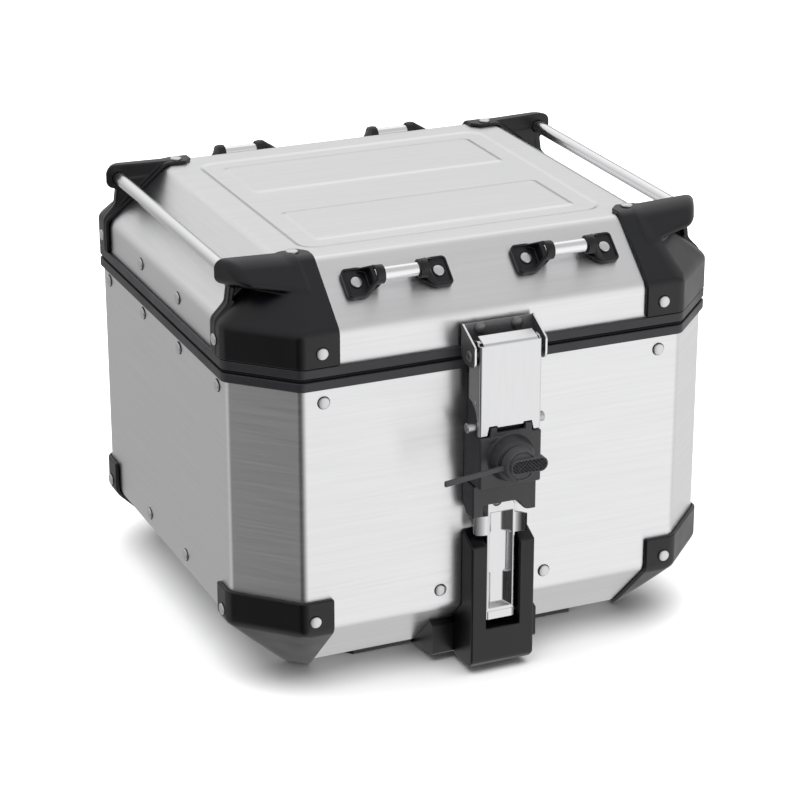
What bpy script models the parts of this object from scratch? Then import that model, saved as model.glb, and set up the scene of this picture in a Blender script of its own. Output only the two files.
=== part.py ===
"""Aluminium top case with a hinged lid, tie-down handles and a covered lock.

Frame: the origin is on the floor under the middle of the case, +X to the right, -Y to the latch side, +Z up.
All dimensions below are millimetres; meshes are made in metres.
"""
import math

import bmesh
import bpy
from mathutils import Vector

MM = 0.001
GAP = 0.3                      # clearance between touching pieces
TAN_HALF = math.tan(math.radians(22.5))    # half of a 45 degree fold
OCT = 2 - math.sqrt(2)         # growth of a 45 degree corner cut per unit of offset

# Sheet-metal case
HALF_W = 215.0                 # centre plane to the outside of a side wall
HALF_D = 202.0                 # centre plane to the outside of the front wall
CORNER = 47.0                  # leg of the cut vertical corners
SHEET = 1.5
BOTTOM_Z = 3.5                 # underside of the bottom panel
FOLD = 55.0                    # leg of the fold between the walls and the bottom
FOLD_Z = BOTTOM_Z + FOLD
WALL_TOP_Z = 275.6

# Rim trims, as offsets from the walls' outside
TRIM_PROUD = 3.0
TRIM_LIP = 6.0                 # how far the lip reaches in over the sheet's edge
TRIM_THICK = 1.3
TRIM_EDGE = 0.7                # small cut along the outer edges
BODY_TRIM_Z = (269.4, 277.2)
LID_TRIM_Z = (280.2, 288.0)
SEAL_OFFSET = (-4.5, 1.5)

# Lid
LID_FOLD_Z = 315.5
LID_TOP_Z = 360.0
TOP_HALF_W = 161.0
TOP_HALF_D = 150.5
TOP_CORNER = 8.0

# Corner caps of the lid, and the guards under the body
CAP_OUT = 3.3                  # outer face of a cap, as an offset from the lid
CAP_X = 136.0                  # inner end of the front flange
CAP_Y = 133.0                  # inner end of the side flange
WEB_Y = 136.0                  # face of the web that carries the side bar
WEB_THICK = 3.0
BAR_X = 203.5
BAR_Z = 353.5
BAR_R = 5.5
BAR_DEEP = 7.5                 # how far a bar's end enters the web
GUARD_X = 143.0
GUARD_TOP_Z = 86.0

# Tie-down handles on the two long slopes
HANDLE_X = 74.5
HANDLE_V = 38.6                # rod axis, measured up the slope from the fold
ROD_R = 5.6
ROD_H = 12.5                   # rod axis above the slope
SOCKET_S = 15.0                # socket face, from the middle of the handle
SOCKET_R = 7.8
SOCKET_DEEP = 8.0
FOOT_END_S = 45.5
FOOT_HALF = 13.5
FOOT_H = 5.5
RIVET_S = 35.5

# Rivets
RIVET_R = 5.3
RIVET_H = 2.6

# Lid hinges
HINGE_Y = 210.6
HINGE_Z = 278.7
HINGE_R = 4.4
HINGE_PIN_R = 2.2
HINGE_X = 104.0                # centre of each hinge
HINGE_HALF = 27.0
KNUCKLE_HALF = 9.0             # the lid leaf's middle knuckle

# Latch on the front
PIVOT_Y = -223.0               # cover pivot
PIVOT_Z = 286.4
PIVOT_R = 2.4
COVER_HALF = 27.5
COVER_THICK = 1.4
COVER_Y = -231.4               # front face of the cover
COVER_Z = (218.4, 295.4)
NOTCH_X = (-15.1, 15.7)        # notches in the cover's lower edge, over tabs of the lock body
EAR_HALF = 32.0                # outer faces of the bracket's ears
EAR_THICK = 1.6
BRACKET_Y = -205.4
LOCK_Z = 198.0                 # lock axis
LOCK_Y = -233.0                # front face of the lock body
LOCK_BODY_Z = (172.8, 217.8)
TOWER_HALF = 28.5
TOWER_Y = -223.0
CATCH_Y = -222.0
CATCH_Z = 224.6
CATCH_R = 4.25
LEVER_PIN_Y = -211.3
LEVER_PIN_Z = 50.0
LEVER_PIN_R = 2.0
WINDOW_HALF = 15.0
WINDOW_Z = 41.5

COLOURS = {
    # name: (red, green, blue, metallic, roughness)
    "brushed_aluminium": (0.80, 0.80, 0.81, 1.0, 0.34),
    "satin_rod": (0.84, 0.84, 0.85, 1.0, 0.20),
    "rivet_metal": (0.78, 0.78, 0.79, 1.0, 0.30),
    "black_plastic": (0.030, 0.030, 0.034, 0.0, 0.55),
    "rim_plastic": (0.055, 0.055, 0.060, 0.0, 0.50),
    "seal_rubber": (0.010, 0.010, 0.011, 0.0, 0.80),
    "cap_rubber": (0.035, 0.035, 0.038, 0.0, 0.70),
    "cover_steel": (0.86, 0.86, 0.87, 1.0, 0.18),
    "dark_steel": (0.060, 0.060, 0.065, 0.6, 0.40),
    "lock_metal": (0.55, 0.55, 0.56, 1.0, 0.35),
}


# Shapes: each helper takes millimetres in the case's frame and returns an object

def clear_scene():
    for obj in list(bpy.data.objects):
        bpy.data.objects.remove(obj, do_unlink=True)


def mesh_object(name, points, faces):
    """A closed mesh from points in millimetres; the faces' directions are worked out."""
    mesh = bpy.data.meshes.new(name)
    bm = bmesh.new()
    verts = [bm.verts.new(Vector(p) * MM) for p in points]
    for face in faces:
        bm.faces.new([verts[i] for i in face])
    bmesh.ops.recalc_face_normals(bm, faces=bm.faces)
    bm.to_mesh(mesh)
    bm.free()
    obj = bpy.data.objects.new(name, mesh)
    bpy.context.scene.collection.objects.link(obj)
    return obj


def stack(name, rings, cyclic=False):
    """Bridges rings of equal length; the two ends are closed, or joined when cyclic."""
    count = len(rings[0])
    points = [p for ring in rings for p in ring]
    faces = []
    for level in range(len(rings) if cyclic else len(rings) - 1):
        a, b = level * count, ((level + 1) % len(rings)) * count
        for i in range(count):
            j = (i + 1) % count
            faces.append((a + i, a + j, b + j, b + i))
    if not cyclic:
        faces.append(tuple(range(count)))
        faces.append(tuple(range(len(points) - count, len(points))))
    return mesh_object(name, points, faces)


def octagon(half_w, half_d, cut, z):
    """A rectangle with cut corners at height z."""
    w, d = half_w, half_d
    plan = [(w, cut - d), (w, d - cut), (w - cut, d), (cut - w, d),
            (-w, d - cut), (-w, cut - d), (cut - w, -d), (w - cut, -d)]
    return [(x, y, z) for x, y in plan]


def wall_ring(offset, z):
    return octagon(HALF_W + offset, HALF_D + offset, CORNER + OCT * offset, z)


def bottom_ring(offset):
    """Where the fold meets the bottom panel, both moved out by offset."""
    side = offset * TAN_HALF - FOLD
    return octagon(HALF_W + side, HALF_D + side, CORNER + OCT * side, BOTTOM_Z - offset)


def fold_ring(offset):
    return wall_ring(offset, FOLD_Z - offset * TAN_HALF)


def lid_fold_ring(offset):
    return wall_ring(offset, LID_FOLD_Z + offset * TAN_HALF)


def lid_top_ring(offset):
    side = offset * TAN_HALF
    return octagon(TOP_HALF_W + side, TOP_HALF_D + side, TOP_CORNER + OCT * side, LID_TOP_Z + offset)


def prism(name, outline, axis, low, high):
    """An outline in the two other axes, in X, Y, Z order, extruded from low to high along axis."""
    def at(p, value):
        return [value if i == axis else p[i if i < axis else i - 1] for i in range(3)]
    return stack(name, [[at(p, low) for p in outline], [at(p, high) for p in outline]])


def box(name, low, high):
    (x0, y0, z0), (x1, y1, z1) = low, high
    return prism(name, [(x0, y0), (x1, y0), (x1, y1), (x0, y1)], 2, z0, z1)


def arc(centre, radius, start, end, steps):
    """Points of an arc in degrees, both ends included."""
    points = []
    for i in range(steps + 1):
        angle = math.radians(start + (end - start) * i / steps)
        points.append((centre[0] + radius * math.cos(angle), centre[1] + radius * math.sin(angle)))
    return points


def turned(name, profile, centre, axis, sides=16):
    """A solid of revolution: profile holds (radius, distance along the axis) from one end to the other."""
    axis = Vector(axis).normalized()
    side = axis.orthogonal().normalized()
    other = axis.cross(side)
    rings = []
    for radius, along in profile:
        ring = []
        for i in range(sides):
            angle = 2 * math.pi * i / sides
            offset = side * math.cos(angle) * radius + other * math.sin(angle) * radius
            ring.append(Vector(centre) + axis * along + offset)
        rings.append(ring)
    return stack(name, rings)


def rod(name, start, end, radius, sides=16):
    start, end = Vector(start), Vector(end)
    return turned(name, [(radius, 0), (radius, (end - start).length)], start, end - start, sides)


def hull(name, points):
    mesh = bpy.data.meshes.new(name)
    bm = bmesh.new()
    for p in points:
        bm.verts.new(Vector(p) * MM)
    result = bmesh.ops.convex_hull(bm, input=bm.verts)
    spare = set(result["geom_interior"]) | set(result["geom_unused"])
    bmesh.ops.delete(bm, geom=[v for v in spare if isinstance(v, bmesh.types.BMVert)], context="VERTS")
    bmesh.ops.dissolve_limit(bm, angle_limit=math.radians(0.5), verts=bm.verts, edges=bm.edges)
    bmesh.ops.recalc_face_normals(bm, faces=bm.faces)
    bm.to_mesh(mesh)
    bm.free()
    obj = bpy.data.objects.new(name, mesh)
    bpy.context.scene.collection.objects.link(obj)
    return obj


def combine(target, operation, *others):
    """Joins, cuts or intersects target with the other shapes, which are used up."""
    for other in others:
        modifier = target.modifiers.new(operation.lower(), "BOOLEAN")
        modifier.operation = operation
        modifier.solver = "EXACT"
        modifier.object = other
        evaluated = target.evaluated_get(bpy.context.evaluated_depsgraph_get())
        mesh = bpy.data.meshes.new_from_object(evaluated)
        target.modifiers.clear()
        target.data = mesh
        bpy.data.objects.remove(other, do_unlink=True)
    weld = bmesh.new()
    weld.from_mesh(target.data)
    bmesh.ops.remove_doubles(weld, verts=weld.verts, dist=1e-6)
    bmesh.ops.dissolve_limit(weld, angle_limit=math.radians(0.3), verts=weld.verts, edges=weld.edges)
    weld.to_mesh(target.data)
    weld.free()
    return target


def join(target, *others):
    return combine(target, "UNION", *others)


def cut(target, *others):
    return combine(target, "DIFFERENCE", *others)


def mapped(source, name, place):
    """A copy of source with every point, in millimetres, moved by place, which may mirror it."""
    points = [place(*(v.co / MM)) for v in source.data.vertices]
    return mesh_object(name, points, [tuple(p.vertices) for p in source.data.polygons])


def mirrored(source, name, sign_x, sign_y):
    return mapped(source, name, lambda x, y, z: (sign_x * x, sign_y * y, z))


# Materials and assembly

def material(name):
    existing = bpy.data.materials.get(name)
    if existing:
        return existing
    red, green, blue, metallic, roughness = COLOURS[name]
    made = bpy.data.materials.new(name)
    made.use_nodes = True
    shader = made.node_tree.nodes["Principled BSDF"]
    shader.inputs["Base Color"].default_value = (red, green, blue, 1)
    shader.inputs["Metallic"].default_value = metallic
    shader.inputs["Roughness"].default_value = roughness
    made.diffuse_color = (red, green, blue, 1)
    return made


def pivot(name, place, parent=None):
    """An empty on a joint's axis, which the moving pieces hang from."""
    empty = bpy.data.objects.new(name, None)
    bpy.context.scene.collection.objects.link(empty)
    empty.empty_display_size = 0.02
    empty["place"] = [c * MM for c in place]
    empty.parent = parent
    start = Vector(parent["place"]) if parent else Vector()
    empty.location = Vector(empty["place"]) - start
    return empty


def add(obj, material_name, parent, smooth=False):
    """Gives a finished piece its material and hangs it from its pivot, with its origin there."""
    obj.data.materials.clear()
    obj.data.materials.append(material(material_name))
    obj.data.transform(obj.matrix_basis)
    offset = Vector(parent["place"])
    for vertex in obj.data.vertices:
        vertex.co -= offset
    obj.parent = parent
    if smooth:
        obj.data.shade_smooth()
        obj.data.set_sharp_from_angle(angle=math.radians(35))
    return obj


# The body

def make_body_shell():
    inside = [wall_ring(-SHEET, WALL_TOP_Z), fold_ring(-SHEET), bottom_ring(-SHEET)]
    return stack("body_shell", [bottom_ring(0), fold_ring(0), wall_ring(0, WALL_TOP_Z)] + inside)


def trim_ring(name, outer_z, lip_z, lip_edge_z):
    """An L-shaped rim: a flange outside the sheet and a lip across its edge."""
    out, cut_z = TRIM_PROUD, math.copysign(TRIM_EDGE, lip_z - outer_z)
    profile = [(out, outer_z + cut_z), (out, lip_z - cut_z), (out - TRIM_EDGE, lip_z), (-TRIM_LIP, lip_z),
               (-TRIM_LIP, lip_edge_z), (GAP, lip_edge_z), (GAP, outer_z), (out - TRIM_EDGE, outer_z)]
    return stack(name, [wall_ring(offset, z) for offset, z in profile], cyclic=True)


def make_seal():
    inner, outer = SEAL_OFFSET
    low, high = BODY_TRIM_Z[1] + GAP, LID_TRIM_Z[0] - GAP
    profile = [(inner, low), (outer, low), (outer, high), (inner, high)]
    return stack("rim_seal", [wall_ring(offset, z) for offset, z in profile], cyclic=True)


def make_guard():
    """The guard of the front right corner: a skin round the fold, with a flat foot under the bottom."""
    out = BOTTOM_Z
    guard = stack("guard", [bottom_ring(out), fold_ring(out), wall_ring(out, GUARD_TOP_Z)])
    inner = stack("inner", [bottom_ring(GAP), fold_ring(GAP), wall_ring(GAP, GUARD_TOP_Z + 10)])
    far, corner = 300.0, 10.0
    plan = [(GUARD_X, -far), (far, -far), (far, -CAP_Y), (GUARD_X + corner, -CAP_Y), (GUARD_X, -CAP_Y - corner)]
    region = prism("region", plan, 2, -10, GUARD_TOP_Z + 10)
    combine(guard, "INTERSECT", region)
    return cut(guard, inner)


def make_base_plate():
    """The flat moulding under the bottom panel, with a nose that reaches forward under the latch."""
    top = BOTTOM_Z - GAP
    half_w, half_d, corner = 120.0, 145.0, 18.0
    plate = stack("base_plate", [octagon(half_w, half_d, corner, 0), octagon(half_w, half_d, corner, top)])
    nose_y, nose_half, inner_edge = -188.0, 48.0, 20.0
    nose_z = (9.0, 34.5)
    fold_line = BOTTOM_Z - GAP * math.sqrt(2) - (HALF_D - FOLD)     # height minus distance along the fold
    outline = [(-half_d + inner_edge, 0), (-half_d, 0), (nose_y + 2, nose_z[0] - 2), (nose_y, nose_z[0]),
               (nose_y, nose_z[1]), (nose_y + 7, fold_line - nose_y - 7), (-top + fold_line, top),
               (-half_d + inner_edge, top)]
    nose = prism("nose", outline, 0, -nose_half, nose_half)
    return join(plate, nose)


# The latch parts on the body

def make_latch_housing():
    """The lower tower: hugs the wall and the fold, with an open-topped window for the lever."""
    wall = -HALF_D - GAP
    back = -188.3
    fold_line = BOTTOM_Z - GAP * math.sqrt(2) - (HALF_D - FOLD)
    low, shoulder, top = 6.0, 117.0, 127.0
    outline = [(TOWER_Y + 6, low), (TOWER_Y, low + 5), (TOWER_Y, shoulder), (wall, top), (wall, fold_line - wall),
               (back, fold_line - back), (back, low)]
    housing = prism("base_latch_housing", outline, 0, -TOWER_HALF, TOWER_HALF)
    window = box("window", (-WINDOW_HALF, TOWER_Y - 5, WINDOW_Z), (WINDOW_HALF, wall - 1.7, 150))
    bore = rod("bore", (-21, LEVER_PIN_Y, LEVER_PIN_Z), (21, LEVER_PIN_Y, LEVER_PIN_Z), LEVER_PIN_R + GAP, 12)
    return cut(housing, window, bore)


def make_bridge():
    """The bridge between the lock body and the lower tower, with an arch for the lever's top."""
    low, high, arch = 144.0, LOCK_BODY_Z[0] - GAP, 154.0
    outline = [(-TOWER_HALF, low + 1), (-TOWER_HALF + 1, low), (-19, low), (-19, arch - 2), (-17, arch)]
    outline += [(8, arch)] + arc((8, arch - 7), 7, 60, 30, 2) + arc((24, low + 9), 9, 225, 270, 3)
    outline += [(TOWER_HALF - 2, low), (TOWER_HALF, low + 2), (TOWER_HALF, high), (-TOWER_HALF, high)]
    wall = -HALF_D - GAP
    bridge = prism("lever_bridge", outline, 1, TOWER_Y, wall)
    heel = prism("heel", [(wall + 1, low - 1), (wall + 1, low + 9), (wall - 8, low - 1)], 0, -40, 40)
    return cut(bridge, heel)


def make_lock_body():
    """The lock body: a block with a round boss, and a narrower neck that stands inside the cover."""
    low, high = LOCK_BODY_Z
    wall, edge = -HALF_D - GAP, 1.5
    half = COVER_HALF
    plan = [(-half + edge, LOCK_Y), (half - edge, LOCK_Y), (half, LOCK_Y + edge), (half, wall), (-half, wall),
            (-half, LOCK_Y + edge)]
    body = prism("lock_body", plan, 2, low, high)
    neck_half, neck_top = COVER_HALF - COVER_THICK - 1.2, 264.5
    neck = prism("neck", [(-227, high - 2), (-227, neck_top - 20), (-218, neck_top), (wall, neck_top), (wall, high - 2)],
                 0, -neck_half, neck_half)
    boss = turned("boss", [(20, 2), (20, -6), (17, -12)], (0, LOCK_Y, LOCK_Z), (0, 1, 0), 32)
    front = (LOCK_Y + 0.1, LOCK_Y + 3.2)
    tabs = [prism("tab", [(x - 3.5, high - 2), (x - 2.6, high + 7.9), (x + 2.6, high + 7.9), (x + 3.5, high - 2)],
                  1, *front) for x in NOTCH_X]
    sill = box("sill", (NOTCH_X[0], front[0], high - 2), (NOTCH_X[1], front[1], high + 3.2))
    join(body, neck, boss, sill, *tabs)
    chamber = box("chamber", (-18, LOCK_Y + 10, LOCK_Z - 17), (18, wall + 5, LOCK_Z + 17))
    plug_bore = rod("plug_bore", (0, LOCK_Y - 20, LOCK_Z), (0, LOCK_Y + 15, LOCK_Z), 8.3, 24)
    pin_bore = rod("pin_bore", (-40, CATCH_Y, CATCH_Z), (40, CATCH_Y, CATCH_Z), CATCH_R + GAP)
    return cut(body, chamber, plug_bore, pin_bore)


def make_lock_plug():
    """The key cylinder and, behind it, the cam that it turns."""
    barrel = rod("lock_plug", (0, LOCK_Y - 11.7, LOCK_Z), (0, LOCK_Y + 17, LOCK_Z), 8.0, 24)
    cam_y = (LOCK_Y + 13, LOCK_Y + 16)
    cam = prism("cam", [(0, LOCK_Z - 5.5), (14.5, LOCK_Z - 3.5), (14.5, LOCK_Z + 3.5), (0, LOCK_Z + 5.5)], 1, *cam_y)
    return join(barrel, cam)


def make_dust_cap():
    """The round cap over the keyhole, with a thumb tab to one side and a strap to the other."""
    front = LOCK_Y - 12 - GAP
    cap = turned("lock_dust_cap", [(14.6, 0), (14.0, 5), (13.2, 8), (12.4, 8.6)], (0, front, LOCK_Z), (0, -1, 0), 32)
    tab_r, tab_y = 6.3, front - 8
    outline = arc((-4.2, LOCK_Z), tab_r, 90, 270, 8) + arc((16.0, LOCK_Z), tab_r, -90, 90, 8)
    tab = prism("tab", outline, 1, tab_y - 3.4, tab_y)
    tip, drop = -65.0, 7.0
    strap = prism("strap", [(-8, LOCK_Z - 1.9), (-8, LOCK_Z + 1.5), (tip, LOCK_Z - drop + 2.1), (tip, LOCK_Z - drop - 2.1)],
                  1, front - 4.2, front - 0.6)
    return join(cap, tab, strap)


def make_lever():
    """The release lever: a pressed strip on a rolled barrel, with two ears near its notched top."""
    half, foot, top = 12.7, LEVER_PIN_Z, 153.4
    ear_low, ear_high = 124.0, 141.5
    face_y, back_y = -217.2, -215.4
    outline = [(-half, foot), (half, foot), (half, ear_low - 1.5), (19.5, ear_low), (20.5, ear_low + 2),
               (20.5, ear_high - 1.5), (half - 0.5, ear_high), (half - 0.5, top - 4), (half - 3, top), (1.5, top)]
    outline += arc((-4, top), 4.2, -15, -165, 6)
    outline += [(-half + 2.5, top), (-half + 0.5, top - 2), (-half + 0.5, ear_high), (-25.5, ear_high),
                (-26, ear_low + 2), (-24, ear_low), (-half, ear_low)]
    strip = prism("release_lever", outline, 1, face_y, back_y)
    barrel = rod("barrel", (-half, LEVER_PIN_Y, LEVER_PIN_Z), (half, LEVER_PIN_Y, LEVER_PIN_Z), LEVER_PIN_R + 2)
    link = box("link", (-half, face_y, foot - 3.4), (half, LEVER_PIN_Y, foot + 1.8))
    bore = rod("bore", (-20, LEVER_PIN_Y, LEVER_PIN_Z), (20, LEVER_PIN_Y, LEVER_PIN_Z), LEVER_PIN_R + GAP)
    join(strip, link, barrel)
    return cut(strip, bore)


# The lid

def make_lid_shell():
    rim_z = LID_TRIM_Z[0] + TRIM_THICK + GAP
    inside = [lid_top_ring(-SHEET), lid_fold_ring(-SHEET), wall_ring(-SHEET, rim_z)]
    return stack("lid_shell", inside + [wall_ring(0, rim_z), lid_fold_ring(0), lid_top_ring(0)])


def cap_front_y(z):
    """The plane of a front cap's sloped face."""
    low_y, low_z = -HALF_D - CAP_OUT, LID_FOLD_Z + CAP_OUT * TAN_HALF
    high_y, high_z = -TOP_HALF_D - CAP_OUT * TAN_HALF, LID_TOP_Z + CAP_OUT
    return low_y + (z - low_z) * (high_y - low_y) / (high_z - low_z)


def make_cap():
    """The front right corner cap: a skin over the corner, and a horn with a web that hold the side bar."""
    low = LID_TRIM_Z[1] + GAP
    skin = stack("cap", [wall_ring(CAP_OUT, low), lid_fold_ring(CAP_OUT), lid_top_ring(CAP_OUT)])
    far = 300.0
    plan = [(CAP_X, -far), (far, -far), (far, -CAP_Y), (TOP_HALF_W + 6, -CAP_Y), (TOP_HALF_W - 2, -CAP_Y - 6),
            (CAP_X + 6, -CAP_Y - 6), (CAP_X, -CAP_Y - 12)]
    combine(skin, "INTERSECT", prism("region", plan, 2, low - 10, LID_TOP_Z + 20))
    in_front = [(150, 341.0), (166, 343.0), (196, 349.5), (202, 352.5), (204, 356.5), (204, 361.5), (199, 364.8),
                (150, LID_TOP_Z + CAP_OUT)]
    at_web = [(150, 333.0), (202, 343.0), (210, 345.5), (215.5, 352), (215.5, 358.5), (212, 363.5), (206, 365.5),
              (150, LID_TOP_Z + CAP_OUT)]
    horn = hull("horn", [(x, cap_front_y(z), z) for x, z in in_front] + [(x, -WEB_Y, z) for x, z in at_web])
    web_outline = [(150, low), (HALF_W + 3, low), (HALF_W + 3, 316.5), (208, 330), (205, 350), (150, 350)]
    web = prism("web", web_outline, 1, -WEB_Y - WEB_THICK, -WEB_Y)
    join(skin, horn, web)
    inner = stack("inner", [wall_ring(GAP, low - 20), lid_fold_ring(GAP), lid_top_ring(GAP)])
    socket = rod("socket", (BAR_X, -WEB_Y + 5, BAR_Z), (BAR_X, -WEB_Y - BAR_DEEP - GAP, BAR_Z), BAR_R + GAP)
    return cut(skin, inner, socket)


def slope_point(x, v, h, side):
    """A point at x, v up the slope from its fold and h above it; side is -1 at the front, 1 at the back."""
    run, rise = HALF_D - TOP_HALF_D, LID_TOP_Z - LID_FOLD_Z
    length = math.hypot(run, rise)
    y = -HALF_D + (v * run - h * rise) / length
    z = LID_FOLD_Z + (v * rise + h * run) / length
    return (x, -side * y, z)


def make_bracket():
    """A handle's foot in its own frame: s from the handle's middle, v up the slope and h above it."""
    base = []
    for height, shrink in ((GAP, 0), (FOOT_H - 1, 0), (FOOT_H, 1)):
        half, end = FOOT_HALF - shrink, FOOT_END_S - shrink
        base += [(30, -half, height), (end - 4, -half, height), (end, -half + 4, height),
                 (end, half - 4, height), (end - 4, half, height), (30, half, height)]
    socket = [(SOCKET_S + along, v, h) for along in (0, 5) for v, h in arc((0, ROD_H), SOCKET_R, 0, 337.5, 15)]
    foot = hull("bracket", base + socket)
    floor = 3.6
    rings = [arc((RIVET_S, 0), 9.5, -60, 60, 6) + arc((RIVET_S - 9, 0), 4.0, 120, 240, 4)]
    pocket = stack("pocket", [[(s, v, h) for s, v in rings[0]] for h in (floor, 40)])
    bore = rod("bore", (SOCKET_S - 5, 0, ROD_H), (SOCKET_S + SOCKET_DEEP, 0, ROD_H), ROD_R + GAP)
    return cut(foot, pocket, bore)


def make_latch_bracket():
    reach, nip = EAR_HALF - EAR_THICK / 2, 0.1
    top, low = PIVOT_Z + 21.5, PIVOT_Z - 9.5
    back = box("latch_bracket", (-reach, BRACKET_Y - EAR_THICK - nip, low + 8), (reach, BRACKET_Y - nip, top - 0.3))
    outline = [(BRACKET_Y, top), (BRACKET_Y - EAR_THICK, top), (-230, PIVOT_Z + 9.8), (-231, PIVOT_Z + 8.5)]
    outline += arc((-225, low + 6), 6, 180, 270, 4) + [(-213, low), (BRACKET_Y - EAR_THICK, low + 3.5), (BRACKET_Y, low + 7)]
    ears = [prism("ear", outline, 0, min(x, x - s * EAR_THICK), max(x, x - s * EAR_THICK))
            for s, x in ((-1, -EAR_HALF), (1, EAR_HALF))]
    join(back, *ears)
    bore = rod("bore", (-50, PIVOT_Y, PIVOT_Z), (50, PIVOT_Y, PIVOT_Z), PIVOT_R + GAP, 12)
    return cut(back, bore)


def make_cover():
    """The latch cover: a folded channel with a lip at its top and cut-away sides over the catch pin."""
    low, high = COVER_Z
    inner_y = COVER_Y + COVER_THICK
    tooth, raised, notch_top = 3.9, low + 6.1, low + 7.9
    left, right = NOTCH_X
    front = [(-COVER_HALF, low), (left - tooth - 1.2, low), (left - tooth + 0.6, notch_top),
             (left + tooth - 0.6, notch_top), (left + tooth, raised), (right - tooth, raised),
             (right - tooth + 0.6, notch_top), (right + tooth - 0.6, notch_top), (right + tooth + 1.2, low),
             (COVER_HALF, low), (COVER_HALF, high), (-COVER_HALF, high)]
    cover = prism("latch_cover", front, 1, COVER_Y, inner_y)
    side = [(COVER_Y, low), (COVER_Y, high)] + arc((PIVOT_Y, PIVOT_Z), 12, 120, 0, 6)
    side += [(PIVOT_Y + 12, CATCH_Z + 20.8)] + arc((PIVOT_Y + 12, CATCH_Z + 5.8), 15, 105, 175, 5)
    side += [(-227.2, CATCH_Z - 1.2), (-227.2, low)]
    flanges = [prism("flange", side, 0, min(x, x - s * COVER_THICK), max(x, x - s * COVER_THICK))
               for s, x in ((-1, -COVER_HALF), (1, COVER_HALF))]
    lip_outline = [(COVER_Y, high - 1), (COVER_Y, high), (-219, high + 3.2), (-219, high + 3.2 - COVER_THICK),
                   (inner_y, high - 1)]
    lip = prism("lip", lip_outline, 0, -24, 24)
    join(cover, lip, *flanges)
    bore = rod("bore", (-50, PIVOT_Y, PIVOT_Z), (50, PIVOT_Y, PIVOT_Z), PIVOT_R + GAP, 12)
    return cut(cover, bore)


def make_cover_pin():
    head = 4.6
    end = EAR_HALF + GAP
    profile = [(head - 1, -end - 2), (head, -end - 1), (head, -end), (PIVOT_R, -end), (PIVOT_R, end), (head, end),
               (head, end + 1), (head - 1, end + 2)]
    return turned("cover_pin", profile, (0, PIVOT_Y, PIVOT_Z), (1, 0, 0), 16)


def make_catch_pin():
    profile = [(CATCH_R - 0.8, -35), (CATCH_R, -34.2), (CATCH_R, 33.2), (CATCH_R - 0.8, 34)]
    return turned("catch_pin", profile, (0, CATCH_Y, CATCH_Z), (1, 0, 0), 16)


# Hinges at the back

def make_leaf(name, x, upper):
    """A hinge leaf: a plate on the wall, a step over the trim and knuckles round the pin."""
    sign = 1 if upper else -1
    wall, step = HALF_D + GAP, HALF_D + TRIM_PROUD + GAP
    thick, mid = 2.4, 12.6
    reach = 30.5 if upper else 38.0
    z = HINGE_Z

    def at(distance):
        return z + sign * distance

    plate = [(wall, at(reach)), (wall + thick, at(reach)), (wall + thick, at(mid + 3)), (step + thick, at(mid)),
             (step + thick, at(5.5)), (step, at(5.5)), (step, at(mid - 1.6)), (wall, at(mid - 1.6))]
    leaf = prism(name, plate, 0, x - HINGE_HALF, x + HINGE_HALF)
    inner = KNUCKLE_HALF - GAP if upper else KNUCKLE_HALF
    spans = [(-inner, inner)] if upper else [(-HINGE_HALF, -inner), (inner, HINGE_HALF)]
    for low, high in spans:
        join(leaf, box("neck", (x + low, step, min(at(0), at(7))), (x + high, step + thick, max(at(0), at(7)))),
             rod("knuckle", (x + low, HINGE_Y, z), (x + high, HINGE_Y, z), HINGE_R))
    bore = rod("bore", (x - 40, HINGE_Y, z), (x + 40, HINGE_Y, z), HINGE_PIN_R + GAP, 12)
    return cut(leaf, bore)


# Rivets

def make_rivet(name, place, axis):
    profile = [(RIVET_R, GAP), (RIVET_R, 1.2), (RIVET_R - 0.7, 2.1), (RIVET_R - 2.2, RIVET_H)]
    return turned(name, profile, place, axis, 16)


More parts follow.
